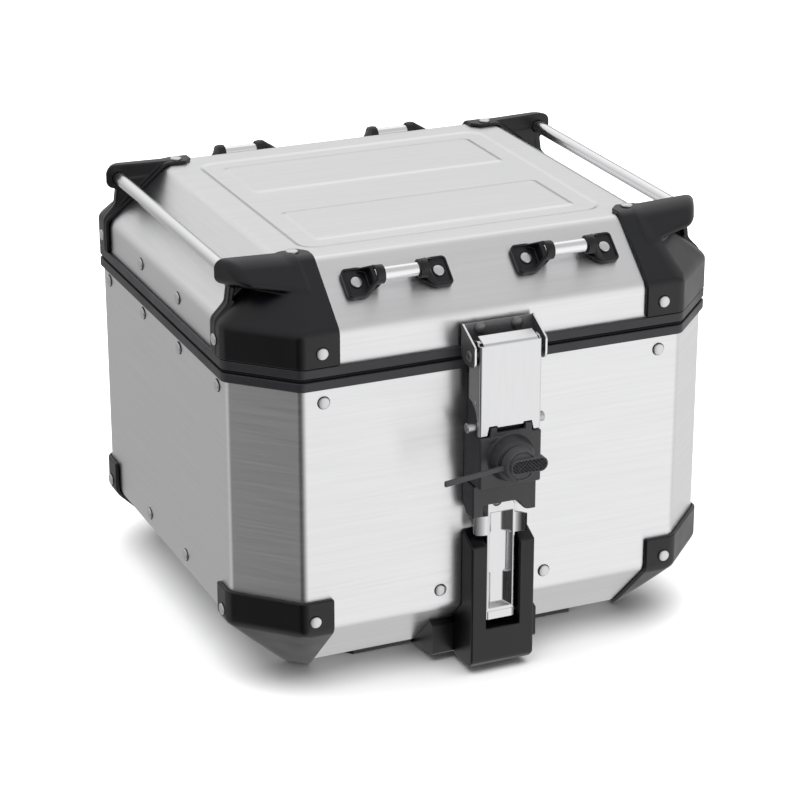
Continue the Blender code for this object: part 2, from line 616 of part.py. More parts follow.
def main():
    clear_scene()
    case = pivot("case_body_pivot", (0, 0, 0))
    lid = pivot("lid_pivot", (0, HINGE_Y, HINGE_Z), case)
    cover = pivot("cover_pivot", (0, PIVOT_Y, PIVOT_Z), lid)
    lock = pivot("lock_pivot", (0, LOCK_Y, LOCK_Z), case)
    lever = pivot("lever_pivot", (0, LEVER_PIN_Y, LEVER_PIN_Z), case)

    add(make_body_shell(), "brushed_aluminium", case)
    add(trim_ring("body_trim", BODY_TRIM_Z[0], BODY_TRIM_Z[1], BODY_TRIM_Z[1] - TRIM_THICK), "rim_plastic", case)
    add(make_seal(), "seal_rubber", case)
    add(make_base_plate(), "black_plastic", case)
    add(make_latch_housing(), "black_plastic", case)
    add(make_bridge(), "black_plastic", case)
    add(make_lock_body(), "black_plastic", case, smooth=True)
    add(make_catch_pin(), "dark_steel", case, smooth=True)
    pin_half = 20.0
    lever_pin = rod("lever_pin", (-pin_half, LEVER_PIN_Y, LEVER_PIN_Z), (pin_half, LEVER_PIN_Y, LEVER_PIN_Z), LEVER_PIN_R, 12)
    add(lever_pin, "lock_metal", case, smooth=True)
    add(make_lever(), "cover_steel", lever)
    add(make_lock_plug(), "lock_metal", lock, smooth=True)
    add(make_dust_cap(), "cap_rubber", lock, smooth=True)

    add(make_lid_shell(), "brushed_aluminium", lid)
    add(trim_ring("lid_trim", LID_TRIM_Z[1], LID_TRIM_Z[0], LID_TRIM_Z[0] + TRIM_THICK), "rim_plastic", lid)
    add(make_latch_bracket(), "dark_steel", lid)
    add(make_cover_pin(), "dark_steel", lid, smooth=True)
    add(make_cover(), "cover_steel", cover)

    guard, cap, bracket = make_guard(), make_cap(), make_bracket()
    corners = {"front_right": (1, 1), "front_left": (-1, 1), "back_right": (1, -1), "back_left": (-1, -1)}
    for where, (sign_x, sign_y) in corners.items():
        add(mirrored(guard, "bottom_guard_" + where, sign_x, sign_y), "black_plastic", case)
        add(mirrored(cap, "lid_cap_" + where, sign_x, sign_y), "black_plastic", lid)
        front, side = (151.5, -HALF_D - CAP_OUT, 300.3), (HALF_W + CAP_OUT, -143, 301.3)
        top = (150, -139, LID_TOP_Z + CAP_OUT)
        for label, (x, y, z), axis in (("front", front, (0, -sign_y, 0)), ("side", side, (sign_x, 0, 0)),
                                       ("top", top, (0, 0, 1))):
            rivet = make_rivet(f"cap_rivet_{where}_{label}", (sign_x * x, sign_y * y, z), axis)
            add(rivet, "rivet_metal", lid, smooth=True)

    bar_half = WEB_Y + BAR_DEEP
    for where, x in (("left", -BAR_X), ("right", BAR_X)):
        add(rod("side_bar_" + where, (x, -bar_half, BAR_Z), (x, bar_half, BAR_Z), BAR_R), "satin_rod", lid, smooth=True)

    for edge, side in (("front", -1), ("back", 1)):
        for where, x in (("left", -HANDLE_X), ("right", HANDLE_X)):
            half = SOCKET_S + SOCKET_DEEP - GAP
            ends = [slope_point(x + s, HANDLE_V, ROD_H, side) for s in (-half, half)]
            add(rod(f"handle_rod_{edge}_{where}", *ends, ROD_R), "satin_rod", lid, smooth=True)
            for label, way in (("a", -1), ("b", 1)):
                piece = mapped(bracket, f"handle_bracket_{edge}_{where}_{label}",
                               lambda s, v, h: slope_point(x + way * s, HANDLE_V + v, h, side))
                add(piece, "black_plastic", lid)

    for where, x in (("left", -16.4), ("right", 16.4)):
        rivet = make_rivet("bracket_rivet_" + where, (x, BRACKET_Y - EAR_THICK, PIVOT_Z + 16.3), (0, -1, 0))
        add(rivet, "dark_steel", lid, smooth=True)

    for where, x in (("left", -HINGE_X), ("right", HINGE_X)):
        add(make_leaf("hinge_leaf_body_" + where, x, upper=False), "dark_steel", case)
        add(make_leaf("hinge_leaf_lid_" + where, x, upper=True), "dark_steel", lid)
        pin = rod("hinge_pin_" + where, (x - HINGE_HALF, HINGE_Y, HINGE_Z), (x + HINGE_HALF, HINGE_Y, HINGE_Z),
                  HINGE_PIN_R, 12)
        add(pin, "lock_metal", case, smooth=True)

    for pattern in (guard, cap, bracket):
        bpy.data.objects.remove(pattern, do_unlink=True)


main()
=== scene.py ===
"""Looks of the aluminium top case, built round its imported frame.

The case's own frame: +X right, -Y to the latch side, +Z up. Shapes are worked out in millimetres and
turned into metres when a mesh is made. In the shape functions d is the distance towards the front,
which is -y, so that one corner's formula serves all four corners.
"""
import math

import bmesh
import bpy
import numpy as np
from mathutils import Matrix, Vector


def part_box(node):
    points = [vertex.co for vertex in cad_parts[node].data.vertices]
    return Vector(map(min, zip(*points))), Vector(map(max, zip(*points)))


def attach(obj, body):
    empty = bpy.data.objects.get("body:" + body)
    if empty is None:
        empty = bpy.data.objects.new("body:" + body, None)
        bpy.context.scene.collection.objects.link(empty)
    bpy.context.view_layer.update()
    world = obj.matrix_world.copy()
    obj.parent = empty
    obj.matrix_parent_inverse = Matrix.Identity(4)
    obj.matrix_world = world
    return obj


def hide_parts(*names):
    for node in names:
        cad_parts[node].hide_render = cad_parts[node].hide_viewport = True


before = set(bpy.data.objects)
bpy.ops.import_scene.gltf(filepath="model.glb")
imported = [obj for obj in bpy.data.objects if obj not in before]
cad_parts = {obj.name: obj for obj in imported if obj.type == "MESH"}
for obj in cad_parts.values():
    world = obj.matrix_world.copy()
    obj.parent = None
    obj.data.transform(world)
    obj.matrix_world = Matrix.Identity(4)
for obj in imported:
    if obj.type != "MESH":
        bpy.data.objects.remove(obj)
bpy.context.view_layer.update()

MM = 0.001
GAP = 0.3                      # clearance between touching pieces


def corners(*nodes):
    """Lowest and highest corner of CAD nodes together, in millimetres."""
    boxes = [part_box(node) for node in nodes]
    low = np.min([np.array(b[0]) for b in boxes], 0) / MM
    high = np.max([np.array(b[1]) for b in boxes], 0) / MM
    return low, high


def across(node):
    """Where a pin along X runs: its distance to the front, and its height."""
    low, high = corners(node)
    return -(low[1] + high[1]) / 2, (low[2] + high[2]) / 2


# Driving dimensions, from the frame
shell_low, shell_high = corners("body_shell")
HALF_W, HALF_D, WALL_TOP_Z = shell_high
BOTTOM_Z = shell_low[2]
lid_low, lid_high = corners("lid_shell")
LID_RIM_Z, LID_TOP_Z = lid_low[2], lid_high[2]
cap_low, cap_high = corners("lid_cap_front_right")
CAP_X, CAP_LOW_Z = cap_low[0], cap_low[2]
CAP_Y = -cap_high[1]
guard_low, guard_high = corners("bottom_guard_front_right")
GUARD_X, GUARD_TOP_Z = guard_low[0], guard_high[2]
GUARD_Y = -guard_high[1]

# The cut corners and the folds, which the boxes can't say
CORNER = 47.0                  # leg of the cut vertical corners
FOLD = 55.0                    # leg of the fold between the walls and the bottom
FOLD_Z = BOTTOM_Z + FOLD
LID_FOLD_Z = LID_RIM_Z + 33.7
TOP_HALF_W, TOP_HALF_D, TOP_CORNER = 161.0, 150.5, 8.0
SHEET = 1.5
OCT = 2 - math.sqrt(2)         # growth of a 45 degree corner cut per unit of offset
CORNER_S = (HALF_W + HALF_D - CORNER) / math.sqrt(2)       # centre to the flat of a cut corner
TOP_CORNER_S = (TOP_HALF_W + TOP_HALF_D - TOP_CORNER) / math.sqrt(2)
CAP_OUT = 3.3                  # outer face of a cap, as an offset from the lid
GUARD_OUT = BOTTOM_Z
WEB_Y = 136.0                  # face of the cap's web that carries the side bar

CORNER_SIGNS = {"front_right": (1, 1), "front_left": (-1, 1), "back_right": (1, -1), "back_left": (-1, -1)}


# Materials

def new_look(name, colour, metallic, roughness):
    """A Principled material with its constants on the shader's own sockets."""
    made = bpy.data.materials.new("look_" + name)
    made.use_nodes = True
    tree = made.node_tree
    shader = tree.nodes["Principled BSDF"]
    shader.inputs["Base Color"].default_value = (*colour, 1)
    shader.inputs["Metallic"].default_value = metallic
    shader.inputs["Roughness"].default_value = roughness
    return made, tree, shader


def stretched_noise(tree, stretch, detail=3.0):
    """Noise over the piece's own coordinates, with stretch features per metre along X, Y and Z."""
    place = tree.nodes.new("ShaderNodeTexCoord")
    scale = tree.nodes.new("ShaderNodeVectorMath")
    scale.operation = "MULTIPLY"
    scale.inputs[1].default_value = stretch
    noise = tree.nodes.new("ShaderNodeTexNoise")
    noise.inputs["Scale"].default_value = 1.0
    noise.inputs["Detail"].default_value = detail
    tree.links.new(place.outputs["Object"], scale.inputs[0])
    tree.links.new(scale.outputs[0], noise.inputs["Vector"])
    return noise.outputs["Fac"]


def mapped(tree, value, low, high, start=0.3, end=0.7):
    """A value from start to end, spread over low to high."""
    spread = tree.nodes.new("ShaderNodeMapRange")
    for socket, number in zip(("From Min", "From Max", "To Min", "To Max"), (start, end, low, high)):
        spread.inputs[socket].default_value = number
    tree.links.new(value, spread.inputs["Value"])
    return spread.outputs["Result"]


def mixed(tree, share, first, second):
    """first where share is 0 and second where it is 1."""
    mix = tree.nodes.new("ShaderNodeMix")
    tree.links.new(share, mix.inputs["Factor"])
    tree.links.new(first, mix.inputs["A"])
    tree.links.new(second, mix.inputs["B"])
    return mix.outputs["Result"]


def tinted(tree, share, dark, light):
    """A colour between dark and light."""
    mix = tree.nodes.new("ShaderNodeMix")
    mix.data_type = "RGBA"
    mix.inputs["A"].default_value = (*dark, 1)
    mix.inputs["B"].default_value = (*light, 1)
    tree.links.new(share, mix.inputs["Factor"])
    return next(out for out in mix.outputs if out.type == "RGBA")


def bumped(tree, shader, height, distance):
    """A height in metres times distance drives the shader's normal."""
    bump = tree.nodes.new("ShaderNodeBump")
    bump.inputs["Distance"].default_value = distance
    bump.inputs["Strength"].default_value = 1.0
    tree.links.new(height, bump.inputs["Height"])
    tree.links.new(bump.outputs["Normal"], shader.inputs["Normal"])


def streaked(tree, shader, direction, amount):
    """Spreads the highlights along direction, in the piece's own frame, as brushing across it does."""
    turned_out = tree.nodes.new("ShaderNodeVectorTransform")
    turned_out.vector_type = "VECTOR"
    turned_out.convert_from = "OBJECT"
    turned_out.convert_to = "WORLD"
    turned_out.inputs[0].default_value = direction
    tree.links.new(turned_out.outputs[0], shader.inputs["Tangent"])
    shader.inputs["Anisotropic"].default_value = amount


def above(tree, height):
    """1 where the piece's own z is above height, in metres."""
    place = tree.nodes.new("ShaderNodeTexCoord")
    split = tree.nodes.new("ShaderNodeSeparateXYZ")
    tree.links.new(place.outputs["Object"], split.inputs[0])
    return mapped(tree, split.outputs["Z"], 0, 1, height - 0.0003, height)


def brushed_look():
    """Sheet brushed along the walls, and along X on the flat top of the lid."""
    made, tree, shader = new_look("brushed_aluminium", (0.80, 0.80, 0.81), 1.0, 0.34)
    flat = above(tree, (LID_TOP_Z - 1.0) * MM)
    walls = stretched_noise(tree, (14, 14, 2600))
    top = stretched_noise(tree, (14, 2600, 14))
    fine = mixed(tree, flat, walls, top)
    broad = mixed(tree, flat, stretched_noise(tree, (9, 9, 420)), stretched_noise(tree, (9, 420, 9)))
    streaked(tree, shader, (0, 0.1, 1), 0.75)
    tree.links.new(mapped(tree, fine, 0.28, 0.40), shader.inputs["Roughness"])
    tree.links.new(tinted(tree, mapped(tree, broad, 0, 1), (0.785, 0.785, 0.795), (0.825, 0.825, 0.832)),
                   shader.inputs["Base Color"])
    bumped(tree, shader, fine, 0.00002)
    return made


def metal_look(name, grey, blue, metallic, stretch, detail, roughness, depth):
    """Plain metal: noise spreads its roughness over a range and gives it a relief of depth."""
    made, tree, shader = new_look(name, (grey, grey, blue), metallic, sum(roughness) / 2)
    noise = stretched_noise(tree, stretch, detail)
    tree.links.new(mapped(tree, noise, *roughness), shader.inputs["Roughness"])
    if depth:
        bumped(tree, shader, noise, depth)
    return made


def rivet_look():
    made, tree, shader = new_look("rivet_metal", (0.72, 0.72, 0.73), 1.0, 0.34)
    noise = stretched_noise(tree, (1500, 1500, 1500), 4.0)
    tree.links.new(mapped(tree, noise, 0.28, 0.44), shader.inputs["Roughness"])
    tree.links.new(tinted(tree, noise, (0.62, 0.62, 0.63), (0.8, 0.8, 0.81)), shader.inputs["Base Color"])
    bumped(tree, shader, noise, 0.00008)
    return made


def grained_look(name, dark, dark_blue, light, light_blue, roughness, grain_mm, depth, gloss):
    """Moulded plastic or rubber: a fine spark-eroded grain, a little paler on its peaks."""
    dark, light = (dark, dark, dark_blue), (light, light, light_blue)
    made, tree, shader = new_look(name, light, 0.0, roughness)
    shader.inputs["Specular IOR Level"].default_value = gloss
    per_metre = 1 / (grain_mm * MM)
    grain = stretched_noise(tree, (per_metre,) * 3, 2.0)
    cloud = stretched_noise(tree, (35, 35, 35), 2.0)
    tree.links.new(tinted(tree, mapped(tree, grain, 0, 1), dark, light), shader.inputs["Base Color"])
    tree.links.new(mapped(tree, cloud, roughness - 0.05, roughness + 0.05), shader.inputs["Roughness"])
    bumped(tree, shader, grain, depth * MM)
    return made


MOULDED = [
    # name, grey and blue of the dark and of the light grain, roughness, grain and its depth in mm, gloss
    ("black_plastic", 0.0005, 0.001, 0.0015, 0.003, 0.34, 0.55, 0.03, 0.5),
    ("lock_plastic", 0.006, 0.008, 0.013, 0.016, 0.38, 0.5, 0.04, 0.75),
    ("rim_plastic", 0.007, 0.009, 0.014, 0.017, 0.42, 0.5, 0.03, 0.6),
    ("seal_rubber", 0.002, 0.003, 0.005, 0.006, 0.75, 0.8, 0.05, 0.3),
    ("cap_rubber", 0.018, 0.020, 0.032, 0.035, 0.5, 0.5, 0.05, 0.7),
]
METALS = [
    # name, grey, blue, metallic, noise features per metre, its detail, roughness, relief in metres
    ("satin_rod", 0.86, 0.87, 1.0, (900, 900, 900), 3.0, (0.16, 0.26), 0.00001),
    ("cover_steel", 0.73, 0.74, 1.0, (1700, 1700, 30), 3.0, (0.18, 0.28), 0.00001),
    ("dark_steel", 0.20, 0.205, 0.85, (1100, 1100, 1100), 2.0, (0.34, 0.48), 0.00003),
    ("lock_metal", 0.55, 0.56, 1.0, (900, 900, 900), 3.0, (0.28, 0.42), 0.0),
]
LOOKS = {"brushed_aluminium": brushed_look(), "rivet_metal": rivet_look()}
LOOKS.update({row[0]: grained_look(*row) for row in MOULDED})
LOOKS.update({row[0]: metal_look(*row) for row in METALS})
CUT_EDGE = metal_look("cut_edge", 0.85, 0.86, 1.0, (1400, 1400, 1400), 2.0, (0.22, 0.38), 0.0)


# Pieces and meshes

def linked(name, data):
    """A new object in the scene."""
    obj = bpy.data.objects.new(name, data)
    bpy.context.scene.collection.objects.link(obj)
    return obj


def place(obj, look, body, nodes=()):
    """Gives a finished piece its look and its body, and hides the CAD nodes that it stands for."""
    if not obj.data.materials:
        obj.data.materials.append(LOOKS[look])
    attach(obj, body)
    if nodes:
        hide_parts(*nodes)
    return obj


def mesh_of(name, points, faces, normals=None):
    """A smooth mesh from points in millimetres, with its own normals where they are given."""
    mesh = bpy.data.meshes.new(name)
    mesh.from_pydata((np.asarray(points) * MM).tolist(), [], [tuple(f) for f in faces])
    mesh.shade_smooth()
    if normals is not None:
        mesh.normals_split_custom_set_from_vertices(np.asarray(normals).tolist())
    return mesh


def dress(node, look, bevel=0.0, segments=2, smooth=False):
    """Keeps a CAD node on show with a new look, and a small bevel on its edges."""
    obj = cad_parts[node]
    obj.data.materials.clear()
    obj.data.materials.append(LOOKS[look])
    if bevel:
        edges = obj.modifiers.new("edges", "BEVEL")
        edges.width = bevel * MM
        edges.segments = segments
        edges.limit_method = "ANGLE"
        edges.angle_limit = math.radians(28)
        edges.use_clamp_overlap = True
        edges.harden_normals = True
    return obj


def rmax(a, b, r):
    """Intersection of two fields with an edge of radius r."""
    return np.minimum(-r, np.maximum(a, b)) + np.hypot(np.maximum(a + r, 0), np.maximum(b + r, 0))


def rmin(a, b, r):
    """Union of two fields with a fillet of radius r."""
    return np.maximum(r, np.minimum(a, b)) - np.hypot(np.maximum(r - a, 0), np.maximum(r - b, 0))


def meet(r, *fields):
    """Intersection of several fields with edges of radius r."""
    total = fields[0]
    for field in fields[1:]:
        total = rmax(total, field, r)
    return total


def slab(value, low, high):
    return np.maximum(low - value, value - high)


def outline(points, u, v):
    """Signed distance to a closed outline, negative inside."""
    best = np.full(u.shape, np.inf)
    inside = np.zeros(u.shape, bool)
    for (u0, v0), (u1, v1) in zip(points, points[1:] + points[:1]):
        du, dv = u1 - u0, v1 - v0
        along = np.clip(((u - u0) * du + (v - v0) * dv) / (du * du + dv * dv), 0, 1)
        best = np.minimum(best, (u - u0 - along * du) ** 2 + (v - v0 - along * dv) ** 2)
        if dv:
            crossing = (v0 <= v) != (v1 <= v)
            inside ^= crossing & (u < u0 + (v - v0) / dv * du)
    return np.where(inside, -1, 1) * np.sqrt(best)


def arc(centre, radius, start, end, steps):
    """Points of an arc in degrees, both ends included."""
    angles = np.radians(np.linspace(start, end, steps + 1))
    return [(centre[0] + radius * math.cos(a), centre[1] + radius * math.sin(a)) for a in angles]


def gradient(field, points, step=0.05):
    slopes = []
    for axis in range(3):
        shift = np.zeros(3)
        shift[axis] = step
        slopes.append(field(*(points + shift).T) - field(*(points - shift).T))
    return np.stack(slopes, 1) / (2 * step)


def settle(field, points, reach):
    """Moves points onto the surface where the field is zero."""
    for _ in range(5):
        slope = gradient(field, points)
        size = np.maximum((slope ** 2).sum(1), 1e-6)
        move = -field(*points.T)[:, None] * slope / size[:, None]
        length = np.maximum(np.linalg.norm(move, axis=1), 1e-9)
        points = points + move * np.minimum(1, reach / length)[:, None]
    return points


def moved(grid, by):
    """A grid one row shorter along each axis, which starts at row 0 or 1."""
    return grid[tuple(slice(k, n - 1 + k) for k, n in zip(by, grid.shape))]


def surface_net(field, low, high, cell):
    """Points and quads of the surface where field(x, y, z) is zero, between two corners."""
    low = np.array(low, float)
    counts = np.ceil((np.array(high, float) - low) / cell).astype(int) + 1
    axes = [low[i] + cell * np.arange(counts[i]) for i in range(3)]
    y, z = (g.ravel() for g in np.meshgrid(axes[1], axes[2], indexing="ij"))
    value = np.stack([field(np.full(y.shape, x), y, z) for x in axes[0]]).reshape(counts)
    value = np.where(value == 0, 1e-9, value)
    inside = value < 0
    total, hits = np.zeros((*(counts - 1), 3)), np.zeros(counts - 1)
    for axis in range(3):
        for other_ends in ((0, 0), (0, 1), (1, 0), (1, 1)):
            near = np.insert(other_ends, axis, 0)
            a, b = moved(value, near), moved(value, np.insert(other_ends, axis, 1))
            crossing = (a < 0) != (b < 0)
            total += crossing[..., None] * near
            total[..., axis] += np.where(crossing, a / np.where(crossing, a - b, 1), 0)
            hits += crossing
    used = hits > 0
    index = np.full(used.shape, -1)
    index[used] = np.arange(used.sum())
    cells = np.argwhere(used)
    points = low + cell * (cells + total[used] / hits[used][:, None])
    quads = []
    for axis in range(3):
        u, v = (axis + 1) % 3, (axis + 2) % 3
        start = [slice(1, n - 1) for n in counts]
        start[axis] = slice(0, counts[axis] - 1)
        end = list(start)
        end[axis] = slice(1, counts[axis])
        a, b = inside[tuple(start)], inside[tuple(end)]
        corner = np.argwhere(a != b)
        outward = a[tuple(corner.T)]
        corner[:, u] += 1
        corner[:, v] += 1
        around = []
        for du, dv in ((0, 0), (1, 0), (1, 1), (0, 1)):
            shifted = corner.copy()
            shifted[:, u] -= du
            shifted[:, v] -= dv
            around.append(index[tuple(shifted.T)])
        ring = np.stack(around, 1)
        quads.append(np.where(outward[:, None], ring, ring[:, ::-1]))
    return points, np.concatenate(quads)


def edited(points, faces):
    """An editable mesh of points and faces, and its vertices."""
    bm = bmesh.new()
    verts = [bm.verts.new(p) for p in points]
    for face in faces:
        bm.faces.new([verts[i] for i in face])
    return bm, verts


def read_back(bm):
    """The points and faces of an editable mesh, which is freed."""
    bm.verts.index_update()
    points = np.array([v.co for v in bm.verts])
    faces = [tuple(v.index for v in f.verts) for f in bm.faces]
    bm.free()
    return points, faces


def moulded(field, low, high, cell):
    """The closed surface of a field, with its flat parts merged: points, faces and normals."""
    points, quads = surface_net(field, low, high, cell)
    bm = edited(settle(field, points, cell), quads)[0]
    bmesh.ops.dissolve_limit(bm, angle_limit=math.radians(0.4), verts=bm.verts, edges=bm.edges)
    bmesh.ops.triangulate(bm, faces=[f for f in bm.faces if len(f.verts) > 4])
    kept, faces = read_back(bm)
    slope = gradient(field, kept)
    return kept, faces, slope / np.maximum(np.linalg.norm(slope, axis=1), 1e-9)[:, None]


def flipped(shape, sign_x, sign_y):
    """The shape of one corner, mirrored to another."""
    points, faces, normals = shape
    signs = np.array([sign_x, sign_y, 1.0])
    if sign_x * sign_y < 0:
        faces = [f[::-1] for f in faces]
    return points * signs, faces, normals * signs


def moulding(name, shape, look, body, nodes=()):
    return place(linked(name, mesh_of(name, *shape)), look, body, nodes)


def lathe(profile, sides=40):
    """Points and faces of a turned solid round +Z; profile holds (radius, height), base first."""
    angles = 2 * math.pi * np.arange(sides) / sides
    points, rows = [], []
    for radius, height in profile:
        if radius < 1e-6:
            rows.append([len(points)] * sides)
            points.append((0, 0, height))
        else:
            rows.append(list(range(len(points), len(points) + sides)))
            points += [(radius * math.cos(a), radius * math.sin(a), height) for a in angles]
    faces = []
    for below, over in zip(rows, rows[1:]):
        for i in range(sides):
            j = (i + 1) % sides
            faces.append([n for k, n in enumerate((below[i], below[j], over[j], over[i]))
                          if n not in (below[i], below[j], over[j], over[i])[:k]])
    if profile[0][0] > 1e-6:
        faces.append(rows[0][::-1])
    if profile[-1][0] > 1e-6:
        faces.append(rows[-1])
    return np.array(points, float), faces


def turned(name, profile, centre, axis, look, body, nodes=(), sides=40, sharp=35):
    """A turned piece: its profile stands on centre and runs along axis."""
    points, faces = lathe(profile, sides)
    turn = np.array(Vector(axis).to_track_quat("Z", "Y").to_matrix())
    mesh = mesh_of(name, points @ turn.T + np.array(centre, float), faces)
    mesh.set_sharp_from_angle(angle=math.radians(sharp))
    return place(linked(name, mesh), look, body, nodes)


# Sheet metal: rings of an octagon with rounded corners, lofted

BEND = 4.0                     # how far a vertical bend reaches along each wall
BEND_STEPS = 6


def bezier(start, middle, end, steps):
    """Points of a curve that leaves and arrives along the lines to middle, both ends included."""
    rows = []
    for t in np.linspace(0, 1, steps + 1):
        rows.append((1 - t) ** 2 * start + 2 * t * (1 - t) * middle + t ** 2 * end)
    return rows


def ring(half_w, half_d, cut, z, reach=BEND):
    """An octagon with rounded corners at height z, always with the same number of points."""
    w, d = half_w, half_d
    plan = [(w, cut - d), (w, d - cut), (w - cut, d), (cut - w, d),
            (-w, d - cut), (-w, cut - d), (cut - w, -d), (w - cut, -d)]
    plan = [np.array(p, float) for p in plan]
    points = []
    for i, p in enumerate(plan):
        before, after = plan[i - 1] - p, plan[(i + 1) % 8] - p
        first = p + before / np.linalg.norm(before) * reach
        last = p + after / np.linalg.norm(after) * reach
        points += bezier(first, p, last, BEND_STEPS)
    return np.array([(x, y, z) for x, y in points])


def wall_ring(offset, z):
    return ring(HALF_W + offset, HALF_D + offset, CORNER + OCT * offset, z)


def folded(rings, reach, steps=6):
    """Rounds the folds at every ring but the first and the last."""
    rows = [rings[0]]
    for before, here, after in zip(rings, rings[1:], rings[2:]):
        back = (before - here) / np.linalg.norm(before - here, axis=1)[:, None]
        on = (after - here) / np.linalg.norm(after - here, axis=1)[:, None]
        rows += bezier(here + back * reach, here, here + on * reach, steps)
    return rows + [rings[-1]]


def loft(rows, cyclic=False, closed_ends=(False, False)):
    """Points and faces that join rings, whose order runs from the inside of the piece outwards."""
    count = len(rows[0])
    points = np.concatenate(rows)
    faces = []
    for level in range(len(rows) if cyclic else len(rows) - 1):
        a, b = level * count, (level + 1) % len(rows) * count
        for i in range(count):
            j = (i + 1) % count
            faces.append((a + i, a + j, b + j, b + i))
    if closed_ends[0]:
        faces.append(tuple(range(count))[::-1])
    if closed_ends[1]:
        faces.append(tuple(range(len(points) - count, len(points))))
    return points, faces


def sheet_metal(name, points, faces, body, nodes):
    """A thin-walled piece: the outside is given, and the sheet's thickness goes inwards."""
    obj = linked(name, mesh_of(name, points, faces))
    place(obj, "brushed_aluminium", body, nodes)
    skin = obj.modifiers.new("sheet", "SOLIDIFY")
    skin.thickness = SHEET * MM
    skin.offset = -1
    skin.use_even_offset = True
    shade = obj.modifiers.new("shade", "WEIGHTED_NORMAL")
    shade.mode = "FACE_AREA"
    shade.weight = 60
    return obj


def build_body_shell():
    fold = ring(HALF_W, HALF_D, CORNER, FOLD_Z)
    side = -FOLD
    bottom = ring(HALF_W + side, HALF_D + side, CORNER + OCT * side, BOTTOM_Z)
    inner = ring(HALF_W + side - 20, HALF_D + side - 20, CORNER + OCT * (side - 20), BOTTOM_Z, 1.0)
    rows = folded([inner, bottom, fold, wall_ring(0, WALL_TOP_Z)], 5.0)
    points, faces = loft(rows, closed_ends=(True, False))
    sheet_metal("case_sheet", points, faces, "case_body", ["body_shell"])


# The lid's top: a sunk field with two raised panels

FIELD_HALF = (135.0, 125.0)
FIELD_RADIUS = 15.0
FIELD_STEP = -0.75             # the field is sunk, and its panels are raised again
PANEL_X = 116.5
PANEL_Y = (31.0, 107.0)
PANEL_RADIUS = 5.0
PANEL_STEP = 0.85
FIELD_EDGE, PANEL_EDGE = 5.0, 5.2              # widths of their pressed edges


def rounded_rectangle(x, y, half_x, half_y, radius):
    """Signed distance to a rounded rectangle about the origin."""
    over_x = np.abs(x) - half_x + radius
    over_y = np.abs(y) - half_y + radius
    outside = np.hypot(np.maximum(over_x, 0), np.maximum(over_y, 0))
    return outside + np.minimum(np.maximum(over_x, over_y), 0) - radius


def pressed(distance, width):
    """0 outside a pressed edge, 1 inside it."""
    t = np.clip(0.5 - distance / width, 0, 1)
    return t * t * (3 - 2 * t)


def top_height(x, y):
    field = pressed(rounded_rectangle(x, y, *FIELD_HALF, FIELD_RADIUS), FIELD_EDGE)
    low, high = PANEL_Y
    middle, half = (low + high) / 2, (high - low) / 2
    panel = pressed(rounded_rectangle(x, np.abs(y) - middle, PANEL_X, half, PANEL_RADIUS), PANEL_EDGE)
    return LID_TOP_Z + FIELD_STEP * field + PANEL_STEP * panel


def dense_lines(limit, edges, fine=0.6, coarse=9.0):
    """Grid lines from -limit to limit: close together near the edges, wide apart elsewhere."""
    lines = [0.0]
    while lines[-1] < limit - 0.01:
        near = any(low - 1 <= lines[-1] <= high + 1 for low, high in edges)
        gap = min((low - 1 - lines[-1] for low, high in edges if low - 1 > lines[-1]), default=coarse)
        lines.append(min(limit, lines[-1] + (fine if near else max(fine, min(coarse, gap)))))
    lines[-1] = limit
    return np.array([-v for v in lines[:0:-1]] + lines)


def build_lid_shell():
    fold = ring(HALF_W, HALF_D, CORNER, LID_FOLD_Z)
    top = ring(TOP_HALF_W, TOP_HALF_D, TOP_CORNER, LID_TOP_Z)
    inner = ring(TOP_HALF_W - 12, TOP_HALF_D - 12, TOP_CORNER, LID_TOP_Z)
    rows = folded([wall_ring(0, LID_RIM_Z), fold, top, inner], 5.5)
    points, faces = loft(rows)
    bm, verts = edited(points, faces)
    rim = verts[-len(inner):]
    loop = [bm.edges.get((a, b)) for a, b in zip(rim, rim[1:] + rim[:1])]
    half_x, half_y = FIELD_HALF[0] + 5, FIELD_HALF[1] + 5
    radius_zone = FIELD_RADIUS + FIELD_EDGE
    xs = dense_lines(half_x, [(PANEL_X - PANEL_RADIUS - 3, PANEL_X + 3),
                              (FIELD_HALF[0] - radius_zone, half_x)])
    ys = dense_lines(half_y, [(PANEL_Y[0] - 3, PANEL_Y[0] + PANEL_RADIUS + 3),
                              (PANEL_Y[1] - PANEL_RADIUS - 3, PANEL_Y[1] + 3),
                              (FIELD_HALF[1] - radius_zone, half_y)])
    grid_x, grid_y = np.meshgrid(xs, ys, indexing="ij")
    heights = top_height(grid_x, grid_y)
    grid = [[bm.verts.new((x, y, h)) for x, y, h in zip(*row)] for row in zip(grid_x, grid_y, heights)]
    for a, b in zip(grid, grid[1:]):
        for i in range(len(ys) - 1):
            bm.faces.new((a[i], b[i], b[i + 1], a[i + 1]))
    border = [row[0] for row in grid] + grid[-1][1:] + [row[-1] for row in grid[::-1]][1:] + grid[0][-2:0:-1]
    loop += [bm.edges.get((a, b)) for a, b in zip(border, border[1:] + border[:1])]
    bmesh.ops.triangle_fill(bm, edges=loop, use_beauty=True, use_dissolve=False)
    bmesh.ops.recalc_face_normals(bm, faces=bm.faces)
    sheet_metal("lid_sheet", *read_back(bm), "lid", ["lid_shell"])


def soft_profile(profile, reach, steps=3):
    """A closed profile with its corners rounded."""
    points = []
    for i, p in enumerate(profile):
        p = np.array(p, float)
        before = np.array(profile[i - 1]) - p
        after = np.array(profile[(i + 1) % len(profile)]) - p
        near = min(reach, 0.45 * np.linalg.norm(before), 0.45 * np.linalg.norm(after))
        points += bezier(p + before / np.linalg.norm(before) * near, p,
                         p + after / np.linalg.norm(after) * near, steps)
    return points


